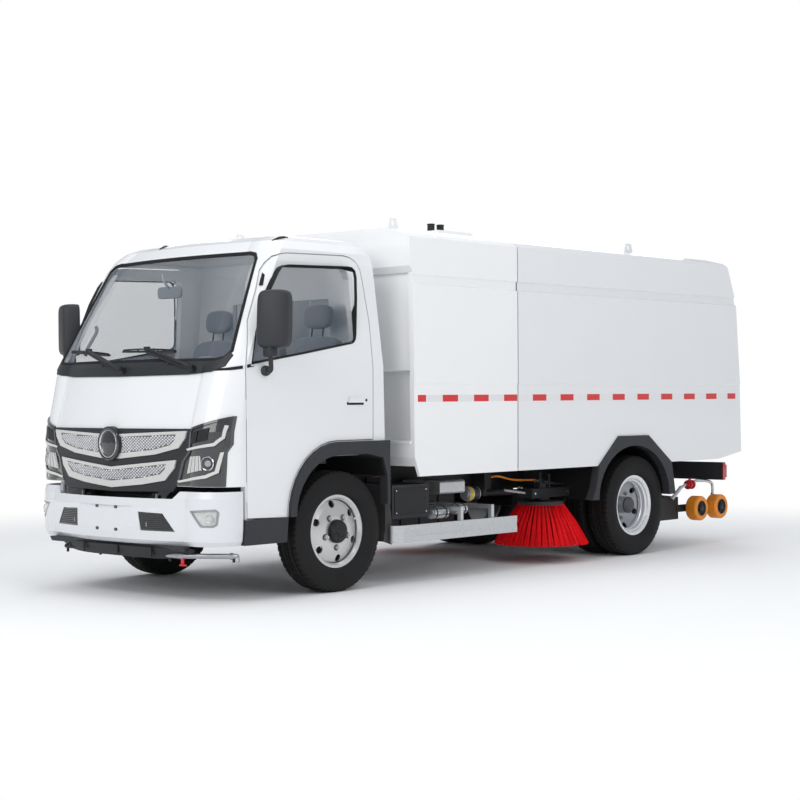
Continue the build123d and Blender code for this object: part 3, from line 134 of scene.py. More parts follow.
# Columns that are left out at the end of a row keep their usual value; a dict gives what else differs.
FINISHES = {  # (colour, roughness, metal, vary, patches, swing, grain, fine, coat)
    "cab_paint": (WHITE, 0.24, 0, 0.004, 3, 0.02, 0, 400, 0.5),
    "body_paint": (WHITE, 0.3, 0, 0.005, 3, 0.02, 0, 400, 0.35),
    "chassis_black": ((0.016, 0.016, 0.018), 0.5, 0, 0.2, 3, 0.06, 0.2, dict(shine=0.35, dust=(GREY_DUST, 0.8, 0.15))),
    "black_plastic": ((0.032, 0.033, 0.037), 0.52, 0, 0.1, 3, 0.06, 0.5, 900, dict(shine=0.32)),
    "dark_plastic": ((0.024, 0.026, 0.029), 0.42, 0, 0.08, 3, 0.06, 0.35, 800, dict(shine=0.3)),
    "grey_trim": ((0.3, 0.31, 0.33), 0.65, 0, 0.06, 3, 0.06, 0.5, 700),
    "seat_cloth": ((0.2, 0.21, 0.235), 0.9, 0, 0.1, 3, 0.06, 0.9, 1200, dict(sheen=0.4)),
    "glass": ((0.06, 0.105, 0.15), 0.03, 0, 0.03, 3, 0.01, 0, 400, 1, dict(alpha=0.17)),
    "lamp": ((0.03, 0.031, 0.034), 0.16, 0, 0.15, 3, 0.06, 0, 400, 1),
    "lamp_white": ((0.6, 0.6, 0.585), 0.22, 0, 0.01, 3, 0.06, 0, 400, 0.7),
    "lens_clear": ((0.3, 0.33, 0.36), 0.03, 0, 0.05, 3, 0.01, 0, 400, 1),
    "lens_pale": ((0.55, 0.56, 0.55), 0.1, 0, 0.1, 60, 0.06, 0.4, 160, 1),
    "gloss_black": ((0.012, 0.012, 0.014), 0.12, 0, 0.1, 3, 0.06, 0, 400, 0.8),
    "satin_black": ((0.016, 0.016, 0.018), 0.4, 0, 0.12, 3, 0.06, 0.15, 700, dict(shine=0.3)),
    "rubber_clean": ((0.01, 0.01, 0.011), 0.6, 0, 0.12, 3, 0.06, 0.2, 600, dict(shine=0.25)),
    "brush_core": ((0.3, 0.006, 0.008), 0.7, 0, 0.2, 30),
    "mesh_back": ((0.13, 0.132, 0.138), 0.45, 0.3, 0.1),
    "bar_silver": ((0.62, 0.615, 0.6), 0.34, 0.35, 0.03, 3, 0.06, 0.05, 400, 0.3),
    "rim_silver": ((0.6, 0.595, 0.59), 0.26, 0.6, 0.03, 3, 0.06, 0.05, 400, 0.3),
    "rim_grey": ((0.36, 0.37, 0.39), 0.34, 0.55, 0.04, 3, 0.06, 0.05, 400, 0.2),
    # The bumper's white is made darker than the cab's: painted shade.
    "bumper_painted_shade": ((0.71, 0.72, 0.74), 0.26, 0, 0.004, 3, 0.02, 0, 400, 0.5),
    # The body's front wall is made lighter than the body's white: painted light against the cab's shade.
    "wall_painted_light": ((0.88, 0.885, 0.89), 0.34, 0, 0.004, 3, 0.02, 0, 400, 0.2),
    "mesh_silver": ((0.84, 0.845, 0.86), 0.26, 0.55, 0.05, 14, 0.06, 0, 400, 0.3),
    "mirror": ((0.86, 0.87, 0.89), 0.04, 1, 0.01, 3, 0.01),
    "polished_steel": ((0.66, 0.67, 0.68), 0.24, 0.95, 0.06, 20, 0.06, 0.05),
    "yellow_paint": ((0.75, 0.52, 0.02), 0.45, 0, 0.08, 20),
    "copper_pipe": ((0.42, 0.17, 0.06), 0.45, 0.6, 0.2, 30),
    "red_paint": ((0.55, 0.012, 0.018), 0.35, 0, 0.1, 15, 0.06, 0, 400, 0.2),
    "tape_red": ((0.66, 0.02, 0.022), 0.3, 0, 0.06, 90, 0.06, 0.3, 450, 0.3),
    "tape_white": ((0.78, 0.78, 0.79), 0.3, 0, 0.03, 90, 0.06, 0.3, 450, 0.3),
    "red_lens": ((0.45, 0.012, 0.012), 0.12, 0, 0.08, 3, 0.06, 0, 400, 0.6),
    "tyre": ((0.009, 0.009, 0.0095), 0.66, 0, 0.15, 3, 0.06, 0.3, 500, dict(shine=0.22, dust=(GREY_DUST, 0.9, 0.1))),
    "silver_paint": ((0.8, 0.81, 0.83), 0.28, 0.45, 0.03, 3, 0.06, 0.05, 400, 0.3),
    "cast_grey": ((0.09, 0.09, 0.095), 0.6, 0.3, 0.2, 3, 0.06, 0.6, 250),
    "steel": ((0.6, 0.61, 0.62), 0.34, 0.7, 0.05, 30, 0.06, 0.06),
    "hard_chrome": ((0.75, 0.76, 0.78), 0.1, 1, 0.03, 3, 0.03),
    "brush_red": ((0.86, 0.007, 0.012), 0.5, 0, 0.15, 40, dict(shine=0.12)),
    "orange_rubber": ((0.8, 0.26, 0.012), 0.5, 0, 0.12, 12, 0.06, 0.2),
    "rubber": ((0.025, 0.025, 0.026), 0.75, 0, 0.15, 3, 0.06, 0.3, dict(dust=ROAD_DUST)),
}


def finish(name):
    """The material of a finish; a row may end with a dict of further settings."""
    row = FINISHES[name]
    more = row[-1] if isinstance(row[-1], dict) else {}
    return material(name, *row[:len(row) - bool(more)], **more)


# Nodes that look different from the rest of their slot. The bumper's darker white is painted shade, and the body's
# front wall's lighter white is painted light against the cab's shade.
OWN_FINISH = {"bumper": "bumper_painted_shade", "body_front": "wall_painted_light", "grille_bars": "bar_silver",
    "front_rim_left": "rim_silver", "front_rim_right": "rim_silver", "rear_rims_left": "rim_grey",
    "rear_rims_right": "rim_grey", "spray_bar": "satin_black"}
for sub in frame["record"]["subparts"]:
    mesh = frame["nodes"][sub["node"]].data
    mesh.materials.clear()
    mesh.materials.append(finish(OWN_FINISH.get(sub["node"], sub["material_slot"])))


# ------------ floor, lights and camera
FLOOR_SIZE = 120
FLOOR_COLOUR = (0.97, 0.97, 0.97)
FLOOR_FADE = (3.8, 8.0)
SKY_COLOUR, SKY_STRENGTH = (0.86, 0.9, 0.96, 1), 0.53


def white_far_away(m, near, far):
    """The floor shows shadows near the truck and runs into plain white further out."""
    tree = m.node_tree
    coords = add_node(tree, "TexCoord", {}, "Object")
    away = add_node(tree, "VectorMath", {0: coords}, "Value", operation="LENGTH")
    fade = add_node(tree, "MapRange", {"Value": away, "From Min": near, "From Max": far}, "Result",
        interpolation_type="SMOOTHSTEP")
    glow = add_node(tree, "Emission", {"Color": (1, 1, 1, 1)}, "Emission")
    shader = tree.nodes["Principled BSDF"].outputs["BSDF"]
    mix = add_node(tree, "MixShader", {"Fac": fade, 1: shader, 2: glow}, "Shader")
    connect(tree, tree.nodes["Material Output"], {"Surface": mix})


def stage():
    """A pale floor and an even sky that the camera sees as white."""
    bpy.ops.mesh.primitive_plane_add(size=FLOOR_SIZE, location=(0, 0, 0))
    floor = bpy.context.object
    floor.name = "floor"
    pale = material("floor_pale", FLOOR_COLOUR, 0.8, vary=0.005, grain=0.05, fine=20)
    white_far_away(pale, *FLOOR_FADE)
    floor.data.materials.append(pale)
    world = bpy.context.scene.world = bpy.data.worlds.new("studio")
    world.use_nodes = True
    tree = world.node_tree
    sky = tree.nodes["Background"]
    connect(tree, sky, {"Color": SKY_COLOUR, "Strength": SKY_STRENGTH})
    seen = add_node(tree, "Background", {"Color": (1, 1, 1, 1)}, "Background")
    path = add_node(tree, "LightPath", {}, "Is Camera Ray")
    mix = add_node(tree, "MixShader", {"Fac": path, 1: sky.outputs["Background"], 2: seen}, "Shader")
    connect(tree, tree.nodes["World Output"], {"Surface": mix})


LAMPS = (  # name, place, watts, size
    ("key", (1.5, -9.5, 6.5), 405, 6.0),
    ("side", (9.5, -2.5, 6.0), 228, 6.0),
    ("top", (0.0, 0.5, 8.5), 190, 8.0),
    ("back", (-6.0, 8.0, 6.0), 200, 6.0),
    ("cabin", (0.0, -2.35, 2.2), 4, 0.7),
)
LAMP_AIM = Vector((0, 0, 1.0))


def lights():
    for name, place, watts, size in LAMPS:
        data = fill(bpy.data.lights.new(name, "AREA"), energy=watts, size=size)
        turn = (LAMP_AIM - Vector(place)).to_track_quat("-Z", "Y").to_euler()
        lamp = fill(bpy.data.objects.new(name, data), location=place, rotation_euler=turn)
        bpy.context.scene.collection.objects.link(lamp)


CAMERA_PLACE = Vector((8.751, -9.685, 1.2826))
CAMERA_YAW, CAMERA_PITCH, CAMERA_ROLL = 0.7461, -0.0011, -0.0072
CAMERA_LENS, CAMERA_SENSOR, CAMERA_REACH = 74.86, 36, 200


def camera():
    data = fill(bpy.data.cameras.new("camera"), lens=CAMERA_LENS, sensor_width=CAMERA_SENSOR, clip_end=CAMERA_REACH)
    cam = bpy.context.scene.camera = bpy.data.objects.new("camera", data)
    bpy.context.scene.collection.objects.link(cam)
    cam.matrix_world = Matrix.Translation(CAMERA_PLACE)
    for angle, axis in ((CAMERA_YAW, "Z"), (math.pi / 2 + CAMERA_PITCH, "X"), (CAMERA_ROLL, "Z")):
        cam.matrix_world = cam.matrix_world @ Matrix.Rotation(angle, 4, axis)


stage()
lights()
camera()
bpy.context.scene.view_settings.view_transform = "Standard"

# ------------ forms
WELD = 1e-6
BEVEL_ANGLE = 30
AXIS = 0.0005  # the radius that closes a turned form at its axis


def turns(count, start=0):
    """Cosine and sine of evenly spaced angles, the first at start degrees."""
    angles = [math.radians(start) + 2 * math.pi * i / count for i in range(count)]
    return [(math.cos(t), math.sin(t)) for t in angles]


def mm(text):
    """Points written in millimetres, with a comma between two points."""
    return [tuple(float(v) / 1000 for v in row.split()) for row in text.split(",")]


def plug(first, last, radius, inner=AXIS, end=None):
    """The profile of a plain disc or ring from first to last along its axis."""
    return [(first, inner), (first, radius), (last, end or radius), (last, inner)]


def between(a, b, share):
    """The point that lies share of the way from a to b."""
    return tuple(p + (q - p) * share for p, q in zip(a, b))


def to_object(bm, name, look):
    mesh = bpy.data.meshes.new(name)
    bm.to_mesh(mesh)
    bm.free()
    mesh.materials.append(finish(look))
    obj = bpy.data.objects.new(name, mesh)
    bpy.context.scene.collection.objects.link(obj)
    return obj


class Shape:
    """Gathers simple forms, in the row frame, into one mesh."""

    def __init__(self):
        self.bm = bmesh.new()

    def strip(self, rings, closed=False):
        """Joins rings of as many points each; closed joins the last ring to the first."""
        n = len(rings[0])
        rows = [[self.bm.verts.new(p) for p in ring] for ring in rings]
        pairs = list(zip(rows, rows[1:])) + ([(rows[-1], rows[0])] if closed else [])
        for a, b in pairs:
            for i in range(n):
                j = (i + 1) % n
                self.bm.faces.new((a[i], a[j], b[j], b[i]))
        if not closed:
            self.bm.faces.new(rows[0][::-1])
            self.bm.faces.new(rows[-1])

    def box(self, lo, hi):
        corners = [self.bm.verts.new(p) for p in itertools.product(*zip(lo, hi))]
        for face in ((0, 1, 3, 2), (4, 6, 7, 5), (0, 4, 5, 1), (2, 3, 7, 6), (0, 2, 6, 4), (1, 5, 7, 3)):
            self.bm.faces.new([corners[i] for i in face])

    def rod(self, a, b, radius, end_radius=None, sides=16):
        a, b = Vector(a), Vector(b)
        side = (b - a).orthogonal().normalized()
        up = (b - a).normalized().cross(side)
        ends = ((a, radius), (b, end_radius or radius))
        self.strip([[p + (side * c + up * h) * r for c, h in turns(sides)] for p, r in ends])

    def lathe(self, profile, centre, out, sides):
        """A closed profile of (distance out, radius) points, turned about the axis out."""
        out, centre = Vector(out).normalized(), Vector(centre)
        side = UP if abs(out.z) < 0.9 else Vector((1, 0, 0))
        up = out.cross(side).normalized()
        arms = [side * c + up * h for c, h in turns(sides)]
        self.strip([[centre + out * d + arm * r for d, r in profile] for arm in arms], closed=True)

    def tube(self, points, radius, sides=8, steps=6):
        """A round tube along a smooth curve through the points."""
        path = smooth_path(points, steps)
        rings, side = [], None
        for i, p in enumerate(path):
            ahead = (path[min(i + 1, len(path) - 1)] - path[max(i - 1, 0)]).normalized()
            side = ahead.orthogonal() if side is None else side - ahead * side.dot(ahead)
            side.normalize()
            up = ahead.cross(side)
            rings.append([p + (side * c + up * h) * radius for c, h in turns(sides)])
        self.strip(rings)

    def mirror(self):
        """Adds the same forms on the other side of the truck."""
        geom = bmesh.ops.duplicate(self.bm, geom=self.bm.verts[:] + self.bm.edges[:] + self.bm.faces[:])["geom"]
        for v in geom:
            if isinstance(v, bmesh.types.BMVert):
                v.co.x = -v.co.x

    def piece(self, name, look, body="cab", bevel=0.0, crease=35, replace=()):
        """Makes the forms one object on a body; edges sharper than crease degrees stay sharp."""
        bmesh.ops.remove_doubles(self.bm, verts=self.bm.verts, dist=WELD)
        bmesh.ops.recalc_face_normals(self.bm, faces=self.bm.faces)
        limit = math.radians(crease)
        for face in self.bm.faces:
            face.smooth = True
        for edge in self.bm.edges:
            edge.smooth = len(edge.link_faces) == 2 and edge.calc_face_angle(0) < limit
        obj = to_object(self.bm, name, look)
        if bevel:
            fill(obj.modifiers.new("edges", "BEVEL"), width=bevel, segments=2, limit_method="ANGLE",
                angle_limit=math.radians(BEVEL_ANGLE), harden_normals=True)
        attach(obj, body)
        if replace:
            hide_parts(*replace)


def smooth_path(points, steps):
    """Points on a Catmull-Rom curve through the given points."""
    pts = [Vector(p) for p in points]
    pts = [pts[0] * 2 - pts[1]] + pts + [pts[-1] * 2 - pts[-2]]
    path = []
    for a, b, c, d in zip(pts, pts[1:], pts[2:], pts[3:]):
        for i in range(steps):
            t = i / steps
            path.append((b * 2 + (c - a) * t + (a * 2 - b * 5 + c * 4 - d) * t * t
                + (b * 3 - a - c * 3 + d) * t ** 3) / 2)
    path.append(pts[-2])
    return path


def surface(node):
    """A caster on a CAD node's own faces: where a line from start along ahead first meets it, and the normal."""
    mesh = frame["nodes"][node].data
    tree = bvhtree.BVHTree.FromPolygons([v.co for v in mesh.vertices], [p.vertices for p in mesh.polygons])
    return lambda start, ahead: tree.ray_cast(Vector(start), Vector(ahead))[:2]


def skin(node, axis, start, fallback):
    """(x or y, z) seen along an axis becomes a point on the node, moved out along the normal by lift."""
    cast = surface(node)
    out = Vector((0, 0, 0))
    out[axis] = math.copysign(1, start)

    def place(across, z, lift=0.0):
        point = Vector((across, across, z))
        point[axis] = start
        found, normal = cast(point, -out)
        if found is None:
            point[axis] = fallback
            return point + out * lift
        return found + (normal if normal.dot(out) > 0 else -normal) * lift
    return place


def from_front(node, fallback_y):
    return skin(node, 1, -6.0, fallback_y)


def from_side(node, fallback_x):
    """As from_front, from the left, with y given from the front axle."""
    place = skin(node, 0, 3.0, fallback_x)
    return lambda y, z, lift=0.0: place(station(y), z, lift)


def refine(outline, step):
    """The closed outline with no edge longer than step."""
    out = []
    for a, b in zip(outline, outline[1:] + outline[:1]):
        n = max(1, math.ceil(math.dist(a, b) / step))
        out += [between(a, b, i / n) for i in range(n)]
    return out


def rounded(outline, radius, steps=4):
    """The outline with its corners turned into arcs."""
    out = []
    n = len(outline)
    for i in range(n):
        a, b, c = (Vector(outline[j % n]) for j in (i - 1, i, i + 1))
        cut = min(radius, (a - b).length * 0.45, (c - b).length * 0.45)
        start, end = b + (a - b).normalized() * cut, b + (c - b).normalized() * cut
        for k in range(steps + 1):
            t = k / steps
            out.append(tuple(start * (1 - t) ** 2 + b * 2 * t * (1 - t) + end * t * t))
    return out


def inset(outline, by):
    """The outline moved inwards, each point along its corner's bisector."""
    n = len(outline)
    area = sum(a[0] * b[1] - b[0] * a[1] for a, b in zip(outline, outline[1:] + outline[:1]))
    sign = 1 if area > 0 else -1
    out = []
    for i in range(n):
        a, b, c = (Vector(outline[j % n]) for j in (i - 1, i, i + 1))
        u, v = (b - a).normalized(), (c - b).normalized()
        bisector = Vector((-(u + v).y, (u + v).x))
        if bisector.length < 1e-6:
            bisector = Vector((-v.y, v.x))
        bisector.normalize()
        lean = max(0.4, bisector.dot(Vector((-v.y, v.x))))
        out.append(tuple(b + bisector * (sign * by / lean)))
    return out


def ribbon(shape, outer, inner, place, lift, depth):
    """A band between two outlines of as many points, lying on a surface."""
    shape.strip([wall(place, a, b, lift, depth) for a, b in zip(outer, inner)], closed=True)


def wall(place, a, b, lift, depth):
    """A band's section from point a to point b."""
    return [place(*a, lift), place(*b, lift), place(*b, lift - depth), place(*a, lift - depth)]


# ------------ wheels
TYRE_R, RIM_R = 0.4025, 0.2425
BLOCKS, SECTOR = 60, 5  # shoulder slots round the tyre, rings from one slot to the next
SLOT_FROM, SLOT_TO, SLOT_DEPTH = 0.056, 0.095, 0.007
GROOVES = (0.012, 0.052)
GROOVE_HALF, GROOVE_DEPTH = 0.005, 0.011
HUB_Z = 0.4025
TWIN = 0.25
AXLES = {  # x and y of the outer tyre's middle, body and node without the side, how far in each tyre sits
    "front": (0.869, FRONT_AXLE, "front_wheel_", "front_tyre_", (0,)),
    "rear": (0.912, 1.4925, "rear_wheels_", "rear_tyres_", (0, TWIN)),
}


def tyre_profile():
    """Half of the tyre's section from the crown to the bead, as (distance out, radius)."""
    crown = []
    for groove in GROOVES:
        crown += [(groove - GROOVE_HALF, TYRE_R), (groove - GROOVE_HALF * 0.6, TYRE_R - GROOVE_DEPTH),
            (groove + GROOVE_HALF * 0.6, TYRE_R - GROOVE_DEPTH), (groove + GROOVE_HALF, TYRE_R - 0.0005)]
    shoulder = [(0.078, TYRE_R - 0.003), (0.088, TYRE_R - 0.007), (0.094, TYRE_R - 0.016), (0.0985, TYRE_R - 0.032)]
    flank = [(0.103, 0.352), (0.104, 0.349), (0.1068, 0.33), (0.1072, 0.312), (0.1058, 0.296), (0.1032, 0.281),
        (0.1026, 0.279), (0.0985, 0.266), (0.0945, 0.2595), (0.0885, 0.2545), (0.0845, 0.2515), (0.08, 0.247),
        (0.0765, RIM_R + 0.0004)]
    return crown + shoulder + flank


def tyre(shape, centre):
    half = tyre_profile()
    section = [(-d, r) for d, r in half[::-1]] + half
    rings = []
    for i, (c, h) in enumerate(turns(BLOCKS * SECTOR)):
        ring = []
        for d, r in section:
            if i % SECTOR == 0 and SLOT_FROM < abs(d) < SLOT_TO and r > TYRE_R - 0.02:
                r -= SLOT_DEPTH
            ring.append(Vector(centre) + Vector((d, r * h, r * c)))
        rings.append(ring)
    shape.strip(rings, closed=True)


def wheels():
    for side, s in SIDES:
        for axle, (x, y, body, node, inwards) in AXLES.items():
            rubber = Shape()
            for shift in inwards:
                tyre(rubber, (s * (x - shift), y, HUB_Z))
            rubber.piece("tread_%s_%s" % (axle, side), "tyre", body + side, crease=25, replace=[node + side])


# ------------ side brushes
BRUSH_PLACE = (0.7, station(2.51))
TUFTS, STRANDS = 46, 20
TUFT_TOP_R, TUFT_FOOT_R = 0.176, 0.372
TUFT_TOP_Z, TUFT_FOOT_Z = 0.447, 0.135
ROWS = ((0.0, 0.0), (0.03, 0.075))  # how much closer in each row of tufts starts and ends
STRAND_CORNERS = (0, 2.09, 4.19)


def ray(angle):
    """A level arrow of length one."""
    return Vector((math.cos(angle), math.sin(angle), 0))


def strand(shape, top, foot, sag, thick):
    """A thin three-sided bristle that bends outwards, tapering a little to its tip."""
    rows = ((top, thick), ((top + foot) / 2 + sag, thick), (foot, thick * 0.75))
    shape.strip([[point + ray(t) * size for t in STRAND_CORNERS] for point, size in rows])


def bristles():
    for side, s in SIDES:
        shape, core = Shape(), Shape()
        centre = Vector((s * BRUSH_PLACE[0], BRUSH_PLACE[1], 0))
        for in_top, in_foot in ROWS:
            for tuft in range(TUFTS):
                bearing = 2 * math.pi * (tuft + in_top * 16) / TUFTS
                for _ in range(STRANDS):
                    far = ray(bearing + rng.uniform(-0.055, 0.055))
                    arm = ray(bearing + rng.uniform(-0.018, 0.018))
                    low = far * (TUFT_FOOT_R - in_foot - rng.uniform(0, 0.022))
                    top = arm * (TUFT_TOP_R - in_top + rng.uniform(-0.006, 0.006)) + UP * TUFT_TOP_Z
                    foot = low + UP * (TUFT_FOOT_Z + rng.uniform(0.001, 0.012))
                    strand(shape, centre + top, centre + foot, far * 0.006 + UP * 0.01, rng.uniform(0.0018, 0.0028))
        core.lathe(mm("420 100, 440 150, 300 205, 135 272, 130 262, 300 190"), centre, UP, 60)
        core.piece("brush_core_" + side, "brush_core", "brush_" + side)
        shape.piece("bristle_tufts_" + side, "brush_red", "brush_" + side, crease=80, replace=["bristles_" + side])


# ------------ outlines on the cab
def whole(half):
    """Half an outline, from its top middle round to its bottom middle, with its mirror image."""
    return half + [(-x, z) for x, z in half[::-1] if x > 0]


def band(shape, first, second, place, lift, depth, steps=6):
    """A plate between two paths of as many points, lying on a surface."""
    pairs = zip(spread(first, steps), spread(second, steps))
    shape.strip([wall(place, a, b, lift, depth) for a, b in pairs])


def both_sides(body, *rows):
    """Mirrors each shape and makes it a piece; a row is a shape, its name and its finish."""
    for shape, name, look in rows:
        shape.mirror()
        shape.piece(name, look, body)


def spread(path, steps):
    """The path with steps points on each of its runs."""
    out = []
    for a, b in zip(path, path[1:]):
        out += [between(a, b, i / steps) for i in range(steps)]
    return out + [path[-1]]


def fan(shape, outline, place, lift, crown):
    """A convex outline filled from its middle, its middle raised by crown."""
    middle = tuple(sum(p[i] for p in outline) / len(outline) for i in (0, 1))
    rings = []
    for share in (1.0, 0.7, 0.35, 0.02):
        raised = lift + crown * (1 - share * share)
        rings.append([place(*between(middle, p, share), raised) for p in outline])
    rings.insert(0, [place(*p, lift - 0.004) for p in outline])
    shape.strip(rings)


def contains(outline, x, z):
    """Whether (x, z) lies inside the outline."""
    odd = False
    for (ax, az), (bx, bz) in zip(outline, outline[1:] + outline[:1]):
        if (az > z) != (bz > z) and x < ax + (bx - ax) * (z - az) / (bz - az):
            odd = not odd
    return odd


# ------------ grille
UPPER_MESH = whole(mm("0 1043, 606 1067, 590 1024, 548 992, 400 962, 100 938, 0 936"))
LOWER_MESH = whole(mm("0 830, 520 878, 506 842, 462 808, 280 780, 0 757"))
EMBLEM_Z, EMBLEM_R, EMBLEM_Y = 1.0, 0.113, station(-1.152)
STUD_WIDE, STUD_HIGH, STUD_RISE, STUD_SHARE = 0.028, 0.02, 0.0055, 0.43


def heights(outline, x):
    """The lowest and highest places of an outline at x."""
    cuts = []
    for (ax, az), (bx, bz) in zip(outline, outline[1:] + outline[:1]):
        if (ax > x) != (bx > x):
            cuts.append(az + (bz - az) * (x - ax) / (bx - ax))
    return (min(cuts), max(cuts)) if len(cuts) > 1 else None


def grille():
    """Diamond studs on a dark mesh in both openings, and the round emblem."""
    place = from_front("grille_bars", -2.98)
    studs, back, ring, disc = Shape(), Shape(), Shape(), Shape()
    for outline, guard in ((inset(UPPER_MESH, 0.003), EMBLEM_R + 0.006), (inset(LOWER_MESH, 0.003), 0.0005)):
        for s in (1, -1):
            spans = [(x, heights(outline, x)) for x in (s * (guard + i * 0.01) for i in range(70))]
            spans = [(x, *ends) for x, ends in spans if ends]
            if len(spans) > 1:
                band(back, [(x, low) for x, low, _ in spans], [(x, high) for x, _, high in spans], place, 0.0008,
                    0.001, 1)
    back.piece("grille_mesh_back", "mesh_back")
    w, h = STUD_WIDE * STUD_SHARE, STUD_HIGH * STUD_SHARE
    for outline, guard in ((inset(UPPER_MESH, 0.006), EMBLEM_R + 0.012), (inset(LOWER_MESH, 0.006), 0)):
        low, high = min(z for _, z in outline), max(z for _, z in outline)
        for row in range(int((high - low) / (STUD_HIGH / 2)) + 1):
            z = low + row * STUD_HIGH / 2
            for column in range(-24, 25):
                x = (column + 0.5 * (row % 2)) * STUD_WIDE
                if contains(outline, x, z) and math.hypot(x, z - EMBLEM_Z) >= guard:
                    corners = [(x - w, z), (x, z - h), (x + w, z), (x, z + h)]
                    studs.strip([[place(*p, -0.0005) for p in corners],
                        [place(*between((x, z), p, 0.35), STUD_RISE) for p in corners]])
    studs.piece("grille_mesh", "mesh_silver", crease=20)
    centre, ahead = (0, EMBLEM_Y, EMBLEM_Z), (0, -1, 0)
    ring.lathe(mm("-6 83, 3 84, 6.5 86.5, 6 89.5, 2 91, -6 91"), centre, ahead, 72)
    ring.piece("emblem_ring", "hard_chrome")
    disc.lathe(mm("-12 90.5, -12 112, -1 112, 4 108, 5 100, 3 90.5"), centre, ahead, 72)
    disc.lathe(mm("-12 0.5, -12 83.5, -2 83.5, 1 76, 4 40, 5 0.5"), centre, ahead, 56)
    disc.piece("emblem_disc", "gloss_black")


# ------------ headlamps
LAMP_UP = (mm("677 974, 874 1012, 912 1053, 920 1121"), mm("688 958, 884 986, 928 1036, 940 1116"))
LAMP_LOW = (mm("600 772, 828 812, 880 836, 906 952"), mm("615 756, 840 786, 906 822, 926 957"))
PROJECTOR = (0.84, 0.884)
REFLECTOR = ([(0.712, 0.926), (0.796, 0.932)], [(0.676, 0.818), (0.806, 0.842)])
CELLS = (([(0.733, 1.074), (0.78, 1.087)], [(0.716, 1.006), (0.764, 1.014)]),
    ([(0.788, 1.089), (0.85, 1.105)], [(0.772, 1.016), (0.838, 1.03)]))


def headlamps():
    place = from_front("cab_shell", -2.85)
    bars, cells, silver, lens, trim = Shape(), Shape(), Shape(), Shape(), Shape()
    for path in (LAMP_UP, LAMP_LOW):
        slim = [between(a, b, 0.72) for a, b in zip(*path)]
        band(bars, path[0], slim, place, 0.0165, 0.006)
    for path in CELLS:
        band(cells, *path, place, 0.0125, 0.006)
    for i in range(7):
        (a, b), (c, d) = [[between(*p, i / 7 + wide) for p in REFLECTOR] for wide in (0, 0.12)]
        band(silver, [a, c], [b, d], place, 0.011 + 0.003 * (i % 2), 0.006, 2)
    middle = place(*PROJECTOR, 0.004)
    ahead = (place(*PROJECTOR, 0.05) - middle).normalized()
    ahead = (ahead + Vector((0, -0.12, 0))).normalized()
    trim.lathe(mm("0 40, 6 39, 8 42, 4 46, -6 47, -6 40"), middle, ahead, 40)
    cells.lathe(mm("-4 30, -4 40, 3 40, 1 30"), middle, ahead, 40)
    lens.lathe(mm("-4 0.5, -4 29, 2 29, 6 24, 9 14, 10 0.5"), middle, ahead, 40)
    silver.lathe(plug(-0.004, -0.001, 0.035), middle, ahead, 24)
    both_sides("cab", (bars, "lamp_bars", "lamp_white"), (cells, "lamp_cells", "satin_black"),
        (silver, "lamp_reflectors", "bar_silver"), (lens, "lamp_lenses", "lens_clear"),
        (trim, "lamp_trim", "hard_chrome"))


# ------------ bumper
FOG = mm("733 590, 898 600, 914 582, 906 500, 886 484, 815 486")
PLATE_FACE = station(-1.172)


def bumper_trim():
    place = from_front("bumper", -3.03)

    def behind(x, z, lift=0.0):
        """The bumper's skin beside the intake, carried across its opening."""
        low, high = place(x, 0.44), place(x, 0.586)
        return low + (high - low) * ((z - 0.44) / 0.146) + Vector((0, -lift, 0))

    def over(x, z, lift=0.0):
        """The bumper's skin carried across the fog lamp's recess."""
        low, high = place(x, 0.468), place(x, 0.616)
        out = (place(x, 0.468, 1.0) - low).normalized()
        return low + (high - low) * ((z - 0.468) / 0.148) + out * lift

    slats, back, bezel, lens, bulb, holes = (Shape() for _ in range(6))
    low, high = [(0.331, 0.4535), (0.61, 0.4535)], [(0.319, 0.5705), (0.519, 0.5645)]
    band(back, low, high, behind, -0.0042, 0.004, 10)
    for i in range(1, 9):
        (x0, z0), (x1, z1) = [between(a, b, i / 9) for a, b in zip(low, high)]
        slats.tube([behind(*p, -0.003) for p in spread([(x0 + 0.003, z0), (x1 - 0.003, z1)], 6)], 0.0036, 6, 2)
    for x, z in itertools.product((-0.0985, 0.0985), (0.449, 0.594)):
        ring = rounded([(x - 0.017, z - 0.01), (x + 0.017, z - 0.01), (x + 0.017, z + 0.01), (x - 0.017, z + 0.01)],
            0.008)
        holes.strip([[(px, PLATE_FACE + d, pz) for px, pz in ring] for d in (0.001, -0.0008)])
    holes.piece("plate_clips", "gloss_black", "chassis")
    edge = refine(rounded(FOG, 0.012, 3), 0.02)
    ribbon(bezel, edge, inset(edge, 0.01), over, 0.0015, 0.012)
    fan(lens, inset(edge, 0.011), over, -0.006, 0.004)
    middle = over(0.866, 0.54, -0.006)
    ahead = (over(0.866, 0.54, 0.05) - middle + Vector((0, -0.02, 0))).normalized()
    bulb.lathe(mm("4 20, 9 22, 10 25, 4 28, 0 28, 0 20"), middle, ahead, 28)
    both_sides("chassis", (slats, "intake_slats", "black_plastic"), (back, "intake_backs", "gloss_black"),
        (bezel, "fog_bezels", "grey_trim"), (lens, "fog_lenses", "lens_pale"), (bulb, "fog_rings", "bar_silver"))


# ------------ glass edges, wipers and cab trim
SCREEN_EDGE = mm("-800 1528, -850 1540, -882 1585, -766 2190, -735 2226, -680 2238, 680 2238, 735 2226, "
    "766 2190, 882 1585, 850 1540, 800 1528")
SIDE_EDGE = mm("-772 1500, -715 1700, -590 1970, -515 2092, -480 2132, -430 2150, 110 2166, 155 2162, "
    "186 2140, 199 2095, 202 1960, 193 1720, 190 1680, 175 1660, 150 1648, -300 1573")
